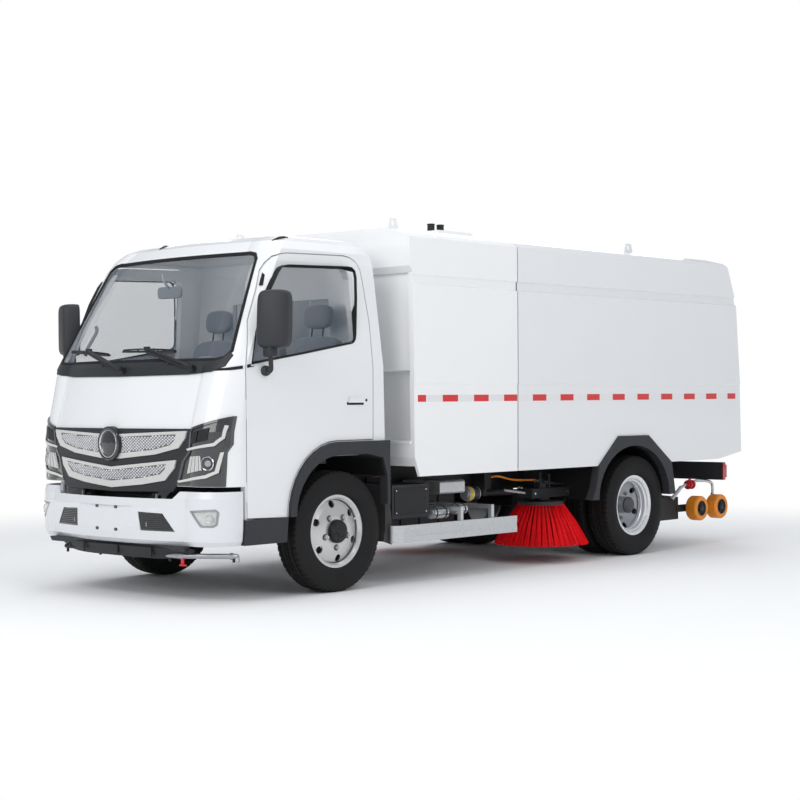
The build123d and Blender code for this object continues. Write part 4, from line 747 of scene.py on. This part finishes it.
# Station, low and high edge of the panel between the door's opening and the window's sloping foot.
SILL = mm("-772 1499 1501, -300 1518 1580, 130 1545 1652, 176 1565 1666, 190 1600 1680")
FRIT, SEAL_OUT = 0.016, 0.008
PILLAR_MARK = mm("873 -598 2012, 874 -600 2018, 844 -540 2112, 842 -536 2118")
WIPERS = (  # pivot, elbow, blade ends, each (x, z) seen from the front
    mm("29 1475, -476 1603, -752 1616, -220 1582"),
    mm("633 1479, 187 1600, -68 1603, 428 1592"),
)
# Share of the blade's length and the height of its bow above the glass.
BLADE = ((0, 0.018), (0.12, 0.024), (0.31, 0.029), (0.5, 0.031), (0.69, 0.029), (0.88, 0.024), (1, 0.018))
JETS = ((-0.229, 1.503), (0.42, 1.506))


def edge_seal(shape, outline, place_out, place_in, out, reach):
    """A rubber that laps the panel outside an opening and the glass inside it."""
    edge = refine(outline, 0.05)
    rings = []
    for (ax, az), (mx, mz), (bx, bz) in zip(inset(edge, -out), inset(edge, 0.004), inset(edge, reach)):
        rings.append([place_out(ax, az, 0.0004), place_out(ax, az, 0.003), place_in(mx, mz, 0.014),
            place_in(bx, bz, 0.005), place_in(bx, bz, 0.0006), place_in(mx, mz, 0.0006)])
    shape.strip(rings, closed=True)


def glass_edges():
    seal, belt = Shape(), Shape()
    edge_seal(seal, SCREEN_EDGE, from_front("cab_shell", -2.9), from_front("cab_glass", -2.9), SEAL_OUT, FRIT)
    seal.piece("screen_seal", "rubber_clean")
    door, pane = from_side("door_left", 0.95), from_side("door_glass_left", 0.94)

    def pane_up(y, z, lift=0.0):
        """The door's skin as it would run across its window."""
        return pane(y, z, lift + 0.01)

    for side, s in SIDES:
        rubber, sill = Shape(), Shape()
        edge_seal(rubber, SIDE_EDGE, pane_up, pane, 0.0, 0.015)
        rings = []
        for y, low, high in spread(SILL, 5):
            foot, head = door(y, low - 0.006, 0.0003), pane_up(y, high, 0.0004)
            inner = Vector((-0.001, 0, 0))
            rings.append([foot, (foot + head) / 2 + Vector((0.0008, 0, 0)), head, head + inner, foot + inner])
        sill.strip(rings)
        flip(sill, s)
        sill.piece("window_sill_" + side, "cab_paint", "door_" + side)
        band(rubber, [(-0.808, 1.479), (-0.75, 1.49)], [(-0.808, 1.499), (-0.75, 1.512)], door, 0.0045, 0.005, 4)
        flip(rubber, s)
        rubber.piece("window_rubber_" + side, "rubber_clean", "door_" + side)
    band(belt, mm("-945 1462, -880 1467, -820 1477"), mm("-945 1474, -880 1486, -820 1497"),
        from_side("cab_shell", 0.93), 0.0045, 0.005, 4)
    belt.strip([[at(x + dx, y + dy, z) for dx, dy in ((-0.013, -0.002), (-0.004, -0.013), (0.012, 0.002),
        (0.004, 0.016))] for x, y, z in PILLAR_MARK])
    belt.mirror()
    belt.piece("pillar_trim", "rubber_clean", bevel=0.002)


def flip(shape, s):
    """Moves forms made for the left side to the right one, if s is -1."""
    if s < 0:
        for v in shape.bm.verts:
            v.co.x = -v.co.x


def wipers():
    place = from_front("cab_shell", -2.9)
    pane = from_front("cab_glass", -2.9)
    arms, rubber = Shape(), Shape()
    for pivot, elbow, left, right in WIPERS:
        third = between(pivot, elbow, 0.3)
        arms.rod(place(*pivot, 0.006), place(*pivot, 0.05), 0.023, 0.019, 20)
        arms.rod(place(*pivot, 0.05), place(*pivot, 0.056), 0.014, 0.01, 6)
        arms.tube([place(*pivot, 0.036), place(*third, 0.04), pane(*elbow, 0.038)], 0.0095, 8)
        reach, joint = Vector((0.022, 0.01, 0.012)), pane(*elbow, 0.034)
        arms.box(joint - reach, joint + reach)
        spans = [(*between(left, right, share), high) for share, high in BLADE]
        arms.tube([pane(*p) for p in spans], 0.0052, 6, 3)
        rubber.tube([pane(x, z, 0.006) for x, z, _ in spans], 0.005, 6, 3)
        for x, z, high in spans[1:-1]:
            arms.rod(pane(x, z, 0.008), pane(x, z, high), 0.004, sides=6)
    for jet in JETS:
        foot = place(*jet, 0.0)
        arms.lathe(mm("0 0.5, 0 17, 10 15, 15 8, 16 0.5"), foot, place(*jet, 0.05) - foot, 16)
    arms.piece("wiper_arms", "satin_black")
    rubber.piece("wiper_blades", "rubber_clean")


MARKERS = ((0.765, -0.33, 0.07), (-0.34, -0.4, 0.04))  # x, y from the front axle, half length


def roof_markers():
    cast = surface("cab_shell")
    shape = Shape()
    for x, y, half in MARKERS:
        rings = []
        for step, wide, high in ((-1, 0.008, 0.003), (-0.5, 0.013, 0.01), (0, 0.014, 0.014), (0.5, 0.013, 0.011),
                (1, 0.008, 0.004)):
            end = cast(at(x, y + step * half, 3.0), -UP)[0]
            rings.append([end + Vector(p) for p in ((-wide, 0, -0.004), (wide, 0, -0.004), (wide * 0.8, 0, high * 0.7),
                (0, 0, high), (-wide * 0.8, 0, high * 0.7))])
        shape.strip(rings)
    shape.piece("roof_markers", "satin_black", crease=50)


# ------------ doors and mirrors
HANDLE = (0.09, 0.23, 1.255)  # its ends along y and its lower edge
MIRROR = ((0.968, 1.182), (-0.735, -0.617), (1.602, 1.972))
MIRROR_TURN = math.radians(24)
# The case from front to back: depth, and its share of the full width and height.
MIRROR_ROWS = ((0.0, 0.7, 0.86), (0.008, 0.84, 0.93), (0.024, 0.94, 0.975), (0.05, 0.99, 0.995), (0.08, 1.0, 1.0),
    (0.112, 0.985, 0.995), (0.118, 0.965, 0.985), (0.118, 0.9, 0.955), (0.106, 0.885, 0.945))
MIRROR_FOOT = at(0.985, -0.66, 1.462)


def rounded_box(shape, lo, hi, radius):
    """A box whose vertical edges, seen along y, are round, with its rim eased."""
    (x0, y0, z0), (x1, y1, z1) = lo, hi
    outline = rounded([(x0, z0), (x1, z0), (x1, z1), (x0, z1)], radius)
    ease = min(0.004, abs(y1 - y0) / 3)
    rows = ((y0, 0.004), (y0 + ease, 0.0), (y1 - ease, 0.0), (y1, 0.004))
    shape.strip([[(x, y, z) for x, z in inset(outline, by)] for y, by in rows])


def doors():
    y0, y1, z0 = HANDLE
    flat = from_side("door_left", 0.97)(y0 - 0.05, z0).x
    (x0, x1), (_, far), (low, high) = MIRROR
    for side, s in SIDES:
        cup, glass, housing = Shape(), Shape(), Shape()
        cup.box(at(flat - 0.001, y0 - 0.01, z0 - 0.015), at(flat + 0.0015, y1 + 0.01, z0 + 0.004))
        cup.lathe(plug(0, 0.003, 0.009), at(flat, y1 + 0.036, z0 + 0.016), (1, 0, 0), 16)
        mirror_housing(housing)
        rounded_box(glass, at(x0 + 0.016, far - 0.011, low + 0.022), at(x1 - 0.014, far - 0.006, high - 0.022), 0.03)
        for v in glass.bm.verts:
            v.co = mirror_turned(v.co)
        for shape in (cup, glass, housing):
            flip(shape, s)
        body = "door_" + side
        cup.piece("handle_shadow_" + side, "satin_black", body)
        glass.piece("mirror_glass_" + side, "mirror", body)
        housing.piece("mirror_housing_" + side, "black_plastic", body, crease=50, replace=["mirror_" + side])


def mirror_turned(point):
    """The mirrors look a little outwards."""
    (x0, x1), (near, far), _ = MIRROR
    middle = Vector(at((x0 + x1) / 2, (near + far) / 2, 0))
    return Matrix.Rotation(MIRROR_TURN, 3, "Z") @ (Vector(point) - middle) + middle


def mirror_housing(shape):
    """A tall rounded case, open round its glass, on an arm that ends in a ball on the door."""
    (x0, x1), (near, _), (low, high) = MIRROR
    rings = []
    for depth, wide, tall in MIRROR_ROWS:
        ring = []
        for c, h in turns(48):
            u, v = math.copysign(abs(c) ** 0.42, c), math.copysign(abs(h) ** 0.3, h)
            lean = 0.007 * (v - 0.2) * (1 if u < 0 else 0.4)
            ring.append(mirror_turned(at((x0 + x1 + (x1 - x0) * wide * u) / 2 + lean, near + depth,
                (low + high + (high - low) * tall * v) / 2)))
        rings.append(ring)
    shape.strip(rings)
    fx, fy, fz = MIRROR_FOOT
    shape.lathe(mm("-22 0.5, -22 30, -6 34, 10 31, 20 20, 23 0.5"), (fx, fy, fz), (1, 0, 0), 32)
    shape.tube([(fx, fy, fz), (fx + 0.03, fy - 0.006, fz - 0.006), (fx + 0.058, fy - 0.014, fz + 0.01),
        (fx + 0.066, fy - 0.022, fz + 0.06), (fx + 0.068, fy - 0.028, low + 0.03)], 0.0155, 14)
    rounded_box(shape, (fx + 0.034, fy - 0.062, low - 0.052), (fx + 0.1, fy + 0.008, low + 0.02), 0.014)


# ------------ seats
SEATS = ((0.52, 0.5), (-0.52, 0.5), (0.0, 0.38))


def cushion(name, centre, size, turn, crown, channels=0, power=5.0):
    """A crowned, closed pad: a rounded block with pulled-in sides, a piped seam and sewn channels."""
    sx, sy, sz = (v / 2 for v in size)
    bm = bmesh.new()
    bmesh.ops.create_cube(bm, size=2)
    bmesh.ops.subdivide_edges(bm, edges=bm.edges[:], cuts=15, use_grid_fill=True)
    tilt = Matrix.Rotation(math.radians(turn), 3, "X")
    for v in bm.verts:
        x, y, z = v.co / sum(abs(c) ** power for c in v.co) ** (1 / power)
        dome = (1 - x * x) * (1 - y * y)
        waist = 1 - 0.03 * (1 - z * z) * abs(x * y)
        p = Vector((x * sx * waist, y * sy * waist, z * sz + crown * dome * z))
        if channels and z > 0.3:
            groove = math.cos(math.pi * channels * x) ** 2
            p.z -= 0.007 * (1 - groove) ** 6 * (1 - y * y) ** 0.3
            p.z -= 0.006 * max(0.0, 1 - abs(abs(x) - 0.66) / 0.05)
        v.co = Vector(centre) + tilt @ p
    for face in bm.faces:
        face.smooth = True
    obj = to_object(bm, name, "seat_cloth")
    fill(obj.modifiers.new("smooth", "SUBSURF"), levels=1, render_levels=1)
    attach(obj, "cab")


def seats():
    base = Shape()
    for n, (x, width) in enumerate(SEATS):
        cushion("seat_cushion_%d" % n, at(x, -0.075, 1.078), (width, 0.5, 0.125), 0.0, 0.012, 3)
        cushion("seat_back_%d" % n, at(x, 0.214, 1.425), (width, 0.58, 0.11), 81, 0.012, 3)
        cushion("head_rest_%d" % n, at(x, 0.262, 1.85), (0.26, 0.17, 0.08), 83, 0.008, 0, 3.2)
        for post in (x - 0.055, x + 0.055):
            base.rod(at(post, 0.24, 1.68), at(post, 0.262, 1.8), 0.006, sides=10)
        base.box(at(x - width / 2 + 0.06, -0.28, 0.9303), at(x + width / 2 - 0.06, 0.13, 1.022))
    base.piece("seat_frames", "satin_black", bevel=0.012, replace=["seats"])


# ------------ inside the cab
def cab_inside():
    trim, glass, screen, hood, pad = (Shape() for _ in range(5))
    rounded_box(trim, at(-0.12, -0.64, 1.965), at(0.12, -0.615, 2.045), 0.03)
    trim.tube([at(0, -0.632, 2.03), at(0, -0.68, 2.08), at(0, -0.69, 2.13)], 0.008, 8)
    rounded_box(glass, at(-0.112, -0.6155, 1.972), at(0.112, -0.6125, 2.038), 0.026)
    for s in (1, -1):
        trim.tube([at(s * 0.8, -0.64, 1.8), at(s * 0.78, -0.655, 1.76), at(s * 0.795, -0.725, 1.64),
            at(s * 0.82, -0.72, 1.6)], 0.012, 10)
    rounded_box(screen, at(-0.16, -0.735, 1.4), at(0.11, -0.712, 1.56), 0.012)
    rings = []
    for i in range(9):
        x, rise = 0.33 + 0.38 * i / 8, 0.075 * math.sin(math.pi * i / 8) ** 0.5
        rings.append([at(x, y, z + rise * share) for y, z, share in ((-0.86, 1.48, 0), (-0.7, 1.47, 0),
            (-0.695, 1.48, 0.9), (-0.76, 1.49, 1), (-0.86, 1.488, 0.4))])
    hood.strip(rings)
    rings = []
    for i in range(25):
        x = -0.76 + 1.52 * i / 24
        back = 0.1 * abs(x / 0.76) ** 5
        rings.append([at(x, y + back, z) for y, z in ((-0.862, 1.49), (-0.8, 1.522), (-0.69, 1.536), (-0.6, 1.522),
            (-0.585, 1.495), (-0.62, 1.478))])
    pad.strip(rings)
    pad.piece("dash_pad", "grey_trim")
    trim.piece("cab_fittings", "grey_trim")
    glass.piece("inside_mirror_glass", "mirror")
    screen.piece("dash_display", "gloss_black")
    hood.piece("dash_hood", "grey_trim", bevel=0.006)


# ------------ wheel caps, valves and rollers
VALVE = mm("10 214, 50 203, 72 190")
CAPS = (  # name, finish, axle, profile, sides, studs, crease
    ("hub_cap_", "satin_black", "front",
        mm("50 0.5, 50 66, 58 78, 92 78.5, 104 72, 110 50, 108 30, 113.5 27, 115 0.5"), 56,
        (6, 15, 0.057, plug(0.1, 0.1115, 0.006), 8)),
    ("rim_shadows_", "cast_grey", "front", mm("40 214.5, 48.5 208.5, 51 210, 43 216.5"), 72,
        (5, 54, 0.108, plug(0.07, 0.0735, 0.0215, 0.015), 20)),
    # A dark ring behind the front disc's vent holes: painted shade seen through them.
    ("vent_backing_", "rubber_clean", "front", mm("40 155, 18 207, 14 205, 36 153"), 64),
    ("rear_hub_", "cast_grey", "rear", mm("15 0.5, 15 66, 30 66, 42 54, 50 46, 50 20, 54 18, 54 0.5"), 48,
        (8, 0, 0.051, plug(0.025, 0.043, 0.007), 6)),
    ("rear_rim_steps_", "silver_paint", "rear",
        mm("78.5 242, 78.5 229, 70 215, 56 210.5, 50 202, 48 198, 20 195.5, 15 190, -10 188, -10 200, "
            "40 211, 64 220, 77 231, 77 242"), 72, None, 30),
)


def turned(name, look, body, centre, out, profile, sides, studs=None, crease=35):
    """A turned piece; studs are a count, the first one's angle, their circle, their profile and sides."""
    shape = Shape()
    shape.lathe(profile, centre, out, sides)
    if studs:
        count, start, radius, stud, stud_sides = studs
        for c, h in turns(count, start):
            place = Vector(centre) + Vector((0, radius * c, radius * h))
            shape.lathe(stud, place, out, stud_sides)
    shape.piece(name, look, body, crease=crease)


def caps(axle, side, s):
    """The turned pieces on one wheel or twin pair."""
    x, y, body, _, _ = AXLES[axle]
    for name, look, on, *form in CAPS:
        if on == axle:
            turned(name + side, look, body + side, (s * x, y, HUB_Z), (s, 0, 0), *form)


def valve_stem(side, s):
    x, y = AXLES["front"][:2]
    stem = Shape()
    c, h = turns(1, 24)[0]
    path = [Vector((s * (x + out), y + r * c, HUB_Z + r * h)) for out, r in VALVE]
    stem.tube(path, 0.0045, 8)
    stem.rod(path[-1], path[-1] + (path[-1] - path[-2]).normalized() * 0.012, 0.006, sides=10)
    stem.piece("valve_stem_" + side, "hard_chrome", "front_wheel_" + side)


def hub_caps():
    for side, s in SIDES:
        caps("front", side, s)
        valve_stem(side, s)
        caps("rear", side, s)


ROLLERS = (("front", station(4.439)), ("rear", station(4.756)))
ROLLER_X, ROLLER_Z = 0.895, 0.318
ROLLER_HUB = mm("32.2 14, 32.2 55.5, 47 60, 51.5 65, 51.5 60, 40 52, 38 32, 49 30, 52.5 24, 54 0.5, 53 0.5, 50 13")


def rollers():
    for side, s in SIDES:
        for name, y in ROLLERS:
            body = "nozzle_wheel_%s_%s" % (name, side)
            turned("roller_hub_%s_%s" % (name, side), "satin_black", body, (s * ROLLER_X, y, ROLLER_Z), (s, 0, 0),
                ROLLER_HUB, 40, (5, 18, 0.042, plug(0.036, 0.046, 0.0065), 6))


# ------------ under the body
def under_body():
    steel, black, yellow, copper = Shape(), Shape(), Shape(), Shape()
    for y0, y1, z, r in ((1.047, 1.198, 0.46, 0.0425), (1.286, 1.409, 0.475, 0.0375)):
        steel.lathe(plug(0.0, y1 - y0, r + 0.0005, r - 0.003), at(0.85, y0, z), (0, 1, 0), 40)
        for end in (y0 + 0.02, y1 - 0.03):
            black.lathe(plug(0.0, 0.01, r + 0.003, r), at(0.85, end, z), (0, 1, 0), 40)
    yellow.lathe(plug(0.0, 0.03, 0.0545, 0.05), at(0.7, 1.612, 0.567), (0, 1, 0), 36)
    for i in range(9):
        black.lathe(mm("0 50, 2 53.5, 6 53.5, 8 50"), at(0.7, 1.652 + i * 0.007, 0.567), (0, 1, 0), 36)
    for i, y in enumerate((0.64, 0.665, 0.69)):
        copper.tube([at(0.8 - i * 0.02, y, 0.676), at(0.795 - i * 0.02, y + 0.004, 0.705), at(0.74, y + 0.05, 0.722),
            at(0.6, y + 0.08, 0.728)], 0.006, 8)
    black.box(at(0.905, 0.61, 0.47), at(0.9035, 0.948, 0.655))
    for y, z in itertools.product((0.625, 0.933), (0.485, 0.64)):
        steel.lathe(plug(0, 0.004, 0.006, end=0.005), at(0.905, y, z), (1, 0, 0), 10)
    for y, z in itertools.product((0.68, 1.23, 1.575, 1.79), (0.312, 0.378)):
        steel.lathe(plug(0, 0.005, 0.008, end=0.006), at(1.0, y, z), (1, 0, 0), 12)
    steel.piece("under_body_steel", "polished_steel", "chassis")
    black.piece("under_body_bands", "satin_black", "chassis", bevel=0.0008)
    yellow.piece("filter_band", "yellow_paint", "chassis")
    copper.piece("coolant_pipes", "copper_pipe", "chassis")


VALANCE_TOP, VALANCE_FOOT = 0.345, 0.272
SHELL = 0.006
# The arcs' centre (y, z) and half sizes along y and z.
LINER = (3.284, 0.474, 0.497, 0.421)
CAB_LINER = (-0.015, 0.525, 0.399, 0.382)


def front_valance():
    """The dark panel below the bumper, drawn in towards its ends and foot, and the spray pipe's end."""
    shape, pipe, red = Shape(), Shape(), Shape()
    rings = []
    for i in range(21):
        x = -0.63 + 1.37 * i / 20
        end = abs(x - 0.055) / 0.685
        y, foot = -1.128 + 0.055 * end ** 3, VALANCE_FOOT + 0.055 * end ** 6
        rings.append([at(x, y + dy, z) for dy, z in ((0, VALANCE_TOP), (0.004, (VALANCE_TOP + foot) / 2),
            (0.018, foot), (0.024, foot), (0.024, VALANCE_TOP))])
    shape.strip(rings)
    for x in (-0.3, 0.055, 0.4):
        shape.box(at(x - 0.01, -1.134, VALANCE_FOOT + 0.01), at(x + 0.01, -1.126, VALANCE_TOP))
    shape.piece("lower_valance", "satin_black", "chassis", bevel=0.002)
    pipe.rod(at(0.5, -1.085, 0.3), at(0.644, -1.085, 0.3), 0.0165, sides=16)
    pipe.rod(at(0.636, -1.0875, 0.3), at(0.94, -0.873, 0.3), 0.0165, sides=16)
    for x in (0.64, 0.9):
        pipe.lathe(plug(0, 0.022, 0.021, 0.014), at(x, -1.085 + 0.205 * (x - 0.64) / 0.29, 0.3), (0.817, 0.577, 0), 6)
    pipe.lathe(mm("0 0.5, 0 13, 30 13, 38 7, 46 7, 46 0.5"), at(0.938, -0.874, 0.3), (0.5, -0.3, -0.8), 16)
    pipe.piece("spray_end", "rim_grey", "chassis")
    red.rod(at(0.655, -1.08, 0.29), at(0.655, -1.08, 0.252), 0.011, sides=12)
    red.box(at(0.63, -1.088, 0.238), at(0.69, -1.076, 0.25))
    red.piece("spray_tap", "red_paint", "chassis", bevel=0.002)


def arch_shell(name, body, path, reach):
    """A thin dark shell from near to far x on both sides; the path pairs inner and outer (y, z)."""
    shape = Shape()
    near, far = reach
    shape.strip([[at(near, *a), at(far, *a), at(far, *b), at(near, *b)] for a, b in path])
    shape.mirror()
    shape.piece(name, "rubber_clean", body)


def arc(oval, steps, grow=0):
    """Steps of a 24th of half a turn round an oval, from its front over its top."""
    cy, cz, a, b = oval
    angles = [math.pi * i / 24 for i in steps]
    return [(cy - (a + grow) * math.cos(t), cz + (b + grow) * math.sin(t)) for t in angles]


def wheel_liner():
    """Dark shells in the wheel openings and a ribbed shield inside the side box."""
    arch_shell("wheel_liners", "hopper", zip(arc(LINER, range(25)), arc(LINER, range(25), SHELL)), (0.56, 0.991))
    path = arc(CAB_LINER, range(4, 13)) + mm("120 908, 247 904, 392 872, 430 758")
    outer = [(y + (SHELL if y > CAB_LINER[0] else -SHELL), z + SHELL) for y, z in path]
    arch_shell("cab_wheel_liners", "cab", zip(path, outer), (0.44, 0.982))
    shield = Shape()
    shield.box(at(0.405, 0.72, 0.3), at(0.417, 1.8, 0.56))
    for y in (0.78, 0.99, 1.2, 1.41, 1.62):
        shield.box(at(0.417, y - 0.012, 0.31), at(0.427, y + 0.012, 0.55))
    shield.piece("under_shield", "satin_black", "chassis", bevel=0.003)


def nozzle_fittings():
    for side, s in SIDES:
        red, pipe = Shape(), Shape()
        x = s * 0.85
        red.rod(at(x, 4.35, 0.52), at(x, 4.45, 0.52), 0.03, sides=20)
        for y in (4.368, 4.42):
            red.lathe(plug(0, 0.012, 0.04), at(x, y, 0.52), (0, 1, 0), 24)
        red.rod(at(x, 4.4, 0.545), at(x, 4.4, 0.572), 0.012, sides=12)
        pipe.tube([at(x, 4.26, 0.5), at(x, 4.34, 0.52), at(x, 4.495, 0.548), at(x, 4.62, 0.545), at(x, 4.715, 0.532),
            at(x, 4.76, 0.5), at(x, 4.764, 0.425)], 0.013, 12)
        pipe.rod(at(x, 4.12, 0.405), at(x, 4.262, 0.502), 0.016, sides=14)
        pipe.rod(at(s * 0.812, 4.764, 0.35), at(x, 4.764, 0.432), 0.014, sides=12)
        red.piece("nozzle_valve_" + side, "red_paint", "nozzle")
        pipe.piece("nozzle_pipe_" + side, "polished_steel", "nozzle")


def brush_fittings():
    """The arm's bolts, links and pipe above each side brush."""
    for side, s in SIDES:
        steel, hose = Shape(), Shape()
        x = s * 0.772
        for y in (2.345, 2.765):
            steel.lathe(plug(0, 0.007, 0.011, end=0.01), at(x, y, 0.536), (s, 0, 0), 6)
        steel.rod(at(s * 0.7, 2.32, 0.54), at(s * 0.56, 2.23, 0.56), 0.012, sides=12)
        steel.rod(at(s * 0.7, 2.81, 0.585), at(s * 0.7, 2.44, 0.63), 0.009, sides=10)
        steel.piece("brush_links_" + side, "polished_steel", "brush_arm_" + side)
        hose.tube([at(s * 0.47, 2.08, 0.64), at(s * 0.54, 2.16, 0.672), at(s * 0.6, 2.3, 0.64),
            at(s * 0.68, 2.47, 0.634)], 0.008, 10)
        hose.piece("brush_pipe_" + side, "orange_rubber", "brush_arm_" + side)


# ------------ body marks, roof and tail
TAPE_Z, TAPE_H, TAPE_PERIOD, TAPE_RED, TAPE_START = 1.28, 0.048, 0.34, 0.165, 0.96
TAPE_RUNS = (("front", "chassis", "body_front", 0.7, 1.794), ("rear", "hopper", "hopper_shell", 1.814, 4.83))
TAPE_COLOURS = (("red", TAPE_START, TAPE_RED), ("white", TAPE_START + TAPE_RED, TAPE_PERIOD - TAPE_RED))
TAPE_THICK = 0.0006
SEAM_AT = 1.81  # where the two bodies meet


def tape():
    """Strips of red and white on each side, broken at the joint between the two bodies."""
    for run, body, node, first, last in TAPE_RUNS:
        side = from_side(node, 1.046)
        for colour, start, width in TAPE_COLOURS:
            shape = Shape()
            y = start - 10 * TAPE_PERIOD
            while y < last:
                a, b = max(y, first), min(y + width, last)
                if b - a > 0.01:
                    low, high = TAPE_Z - TAPE_H / 2, TAPE_Z + TAPE_H / 2
                    band(shape, [(a, low), (b, low)], [(a, high), (b, high)], side, TAPE_THICK, TAPE_THICK + 0.001, 1)
                y += TAPE_PERIOD
            both_sides(body, (shape, "tape_%s_%s" % (colour, run), "tape_" + colour))


def body_trim():
    knobs, marks, seam = Shape(), Shape(), Shape()
    for dy in (-0.05, 0.055):
        knobs.lathe(mm("0 26.5, 0 31, 8 31, 12 27.5, 60 27.5, 68 31, 70.5 27, 71.5 0.5, 69 0.5, 60 26.5"),
            at(0.45, 1.569 + dy, 2.5195), (0, 0, 1), 32)
    knobs.piece("roof_knobs", "satin_black", "chassis")
    for s in (1, -1):
        rounded_box(marks, at(s * 0.9295, 4.802, 0.548), at(s * 0.9335, 4.843, 0.698), 0.004)
        rounded_box(marks, at(s * 0.85, 4.8002, 0.56), at(s * 0.929, 4.8462, 0.686), 0.004)
    marks.piece("tail_markers", "red_lens", "chassis")
    for s in (1, -1):
        seam.box(at(s * 1.02, SEAM_AT - 0.012, 0.76), at(s * 1.036, SEAM_AT - 0.0005, 2.38))
    seam.piece("seam_rubber", "rubber_clean", "chassis")


for build in (wheels, bristles, grille, headlamps, bumper_trim, glass_edges, wipers, roof_markers, doors, seats,
        cab_inside, hub_caps, rollers, under_body, front_valance, wheel_liner, nozzle_fittings, brush_fittings, tape,
        body_trim):
    build()

bpy.context.view_layer.update()
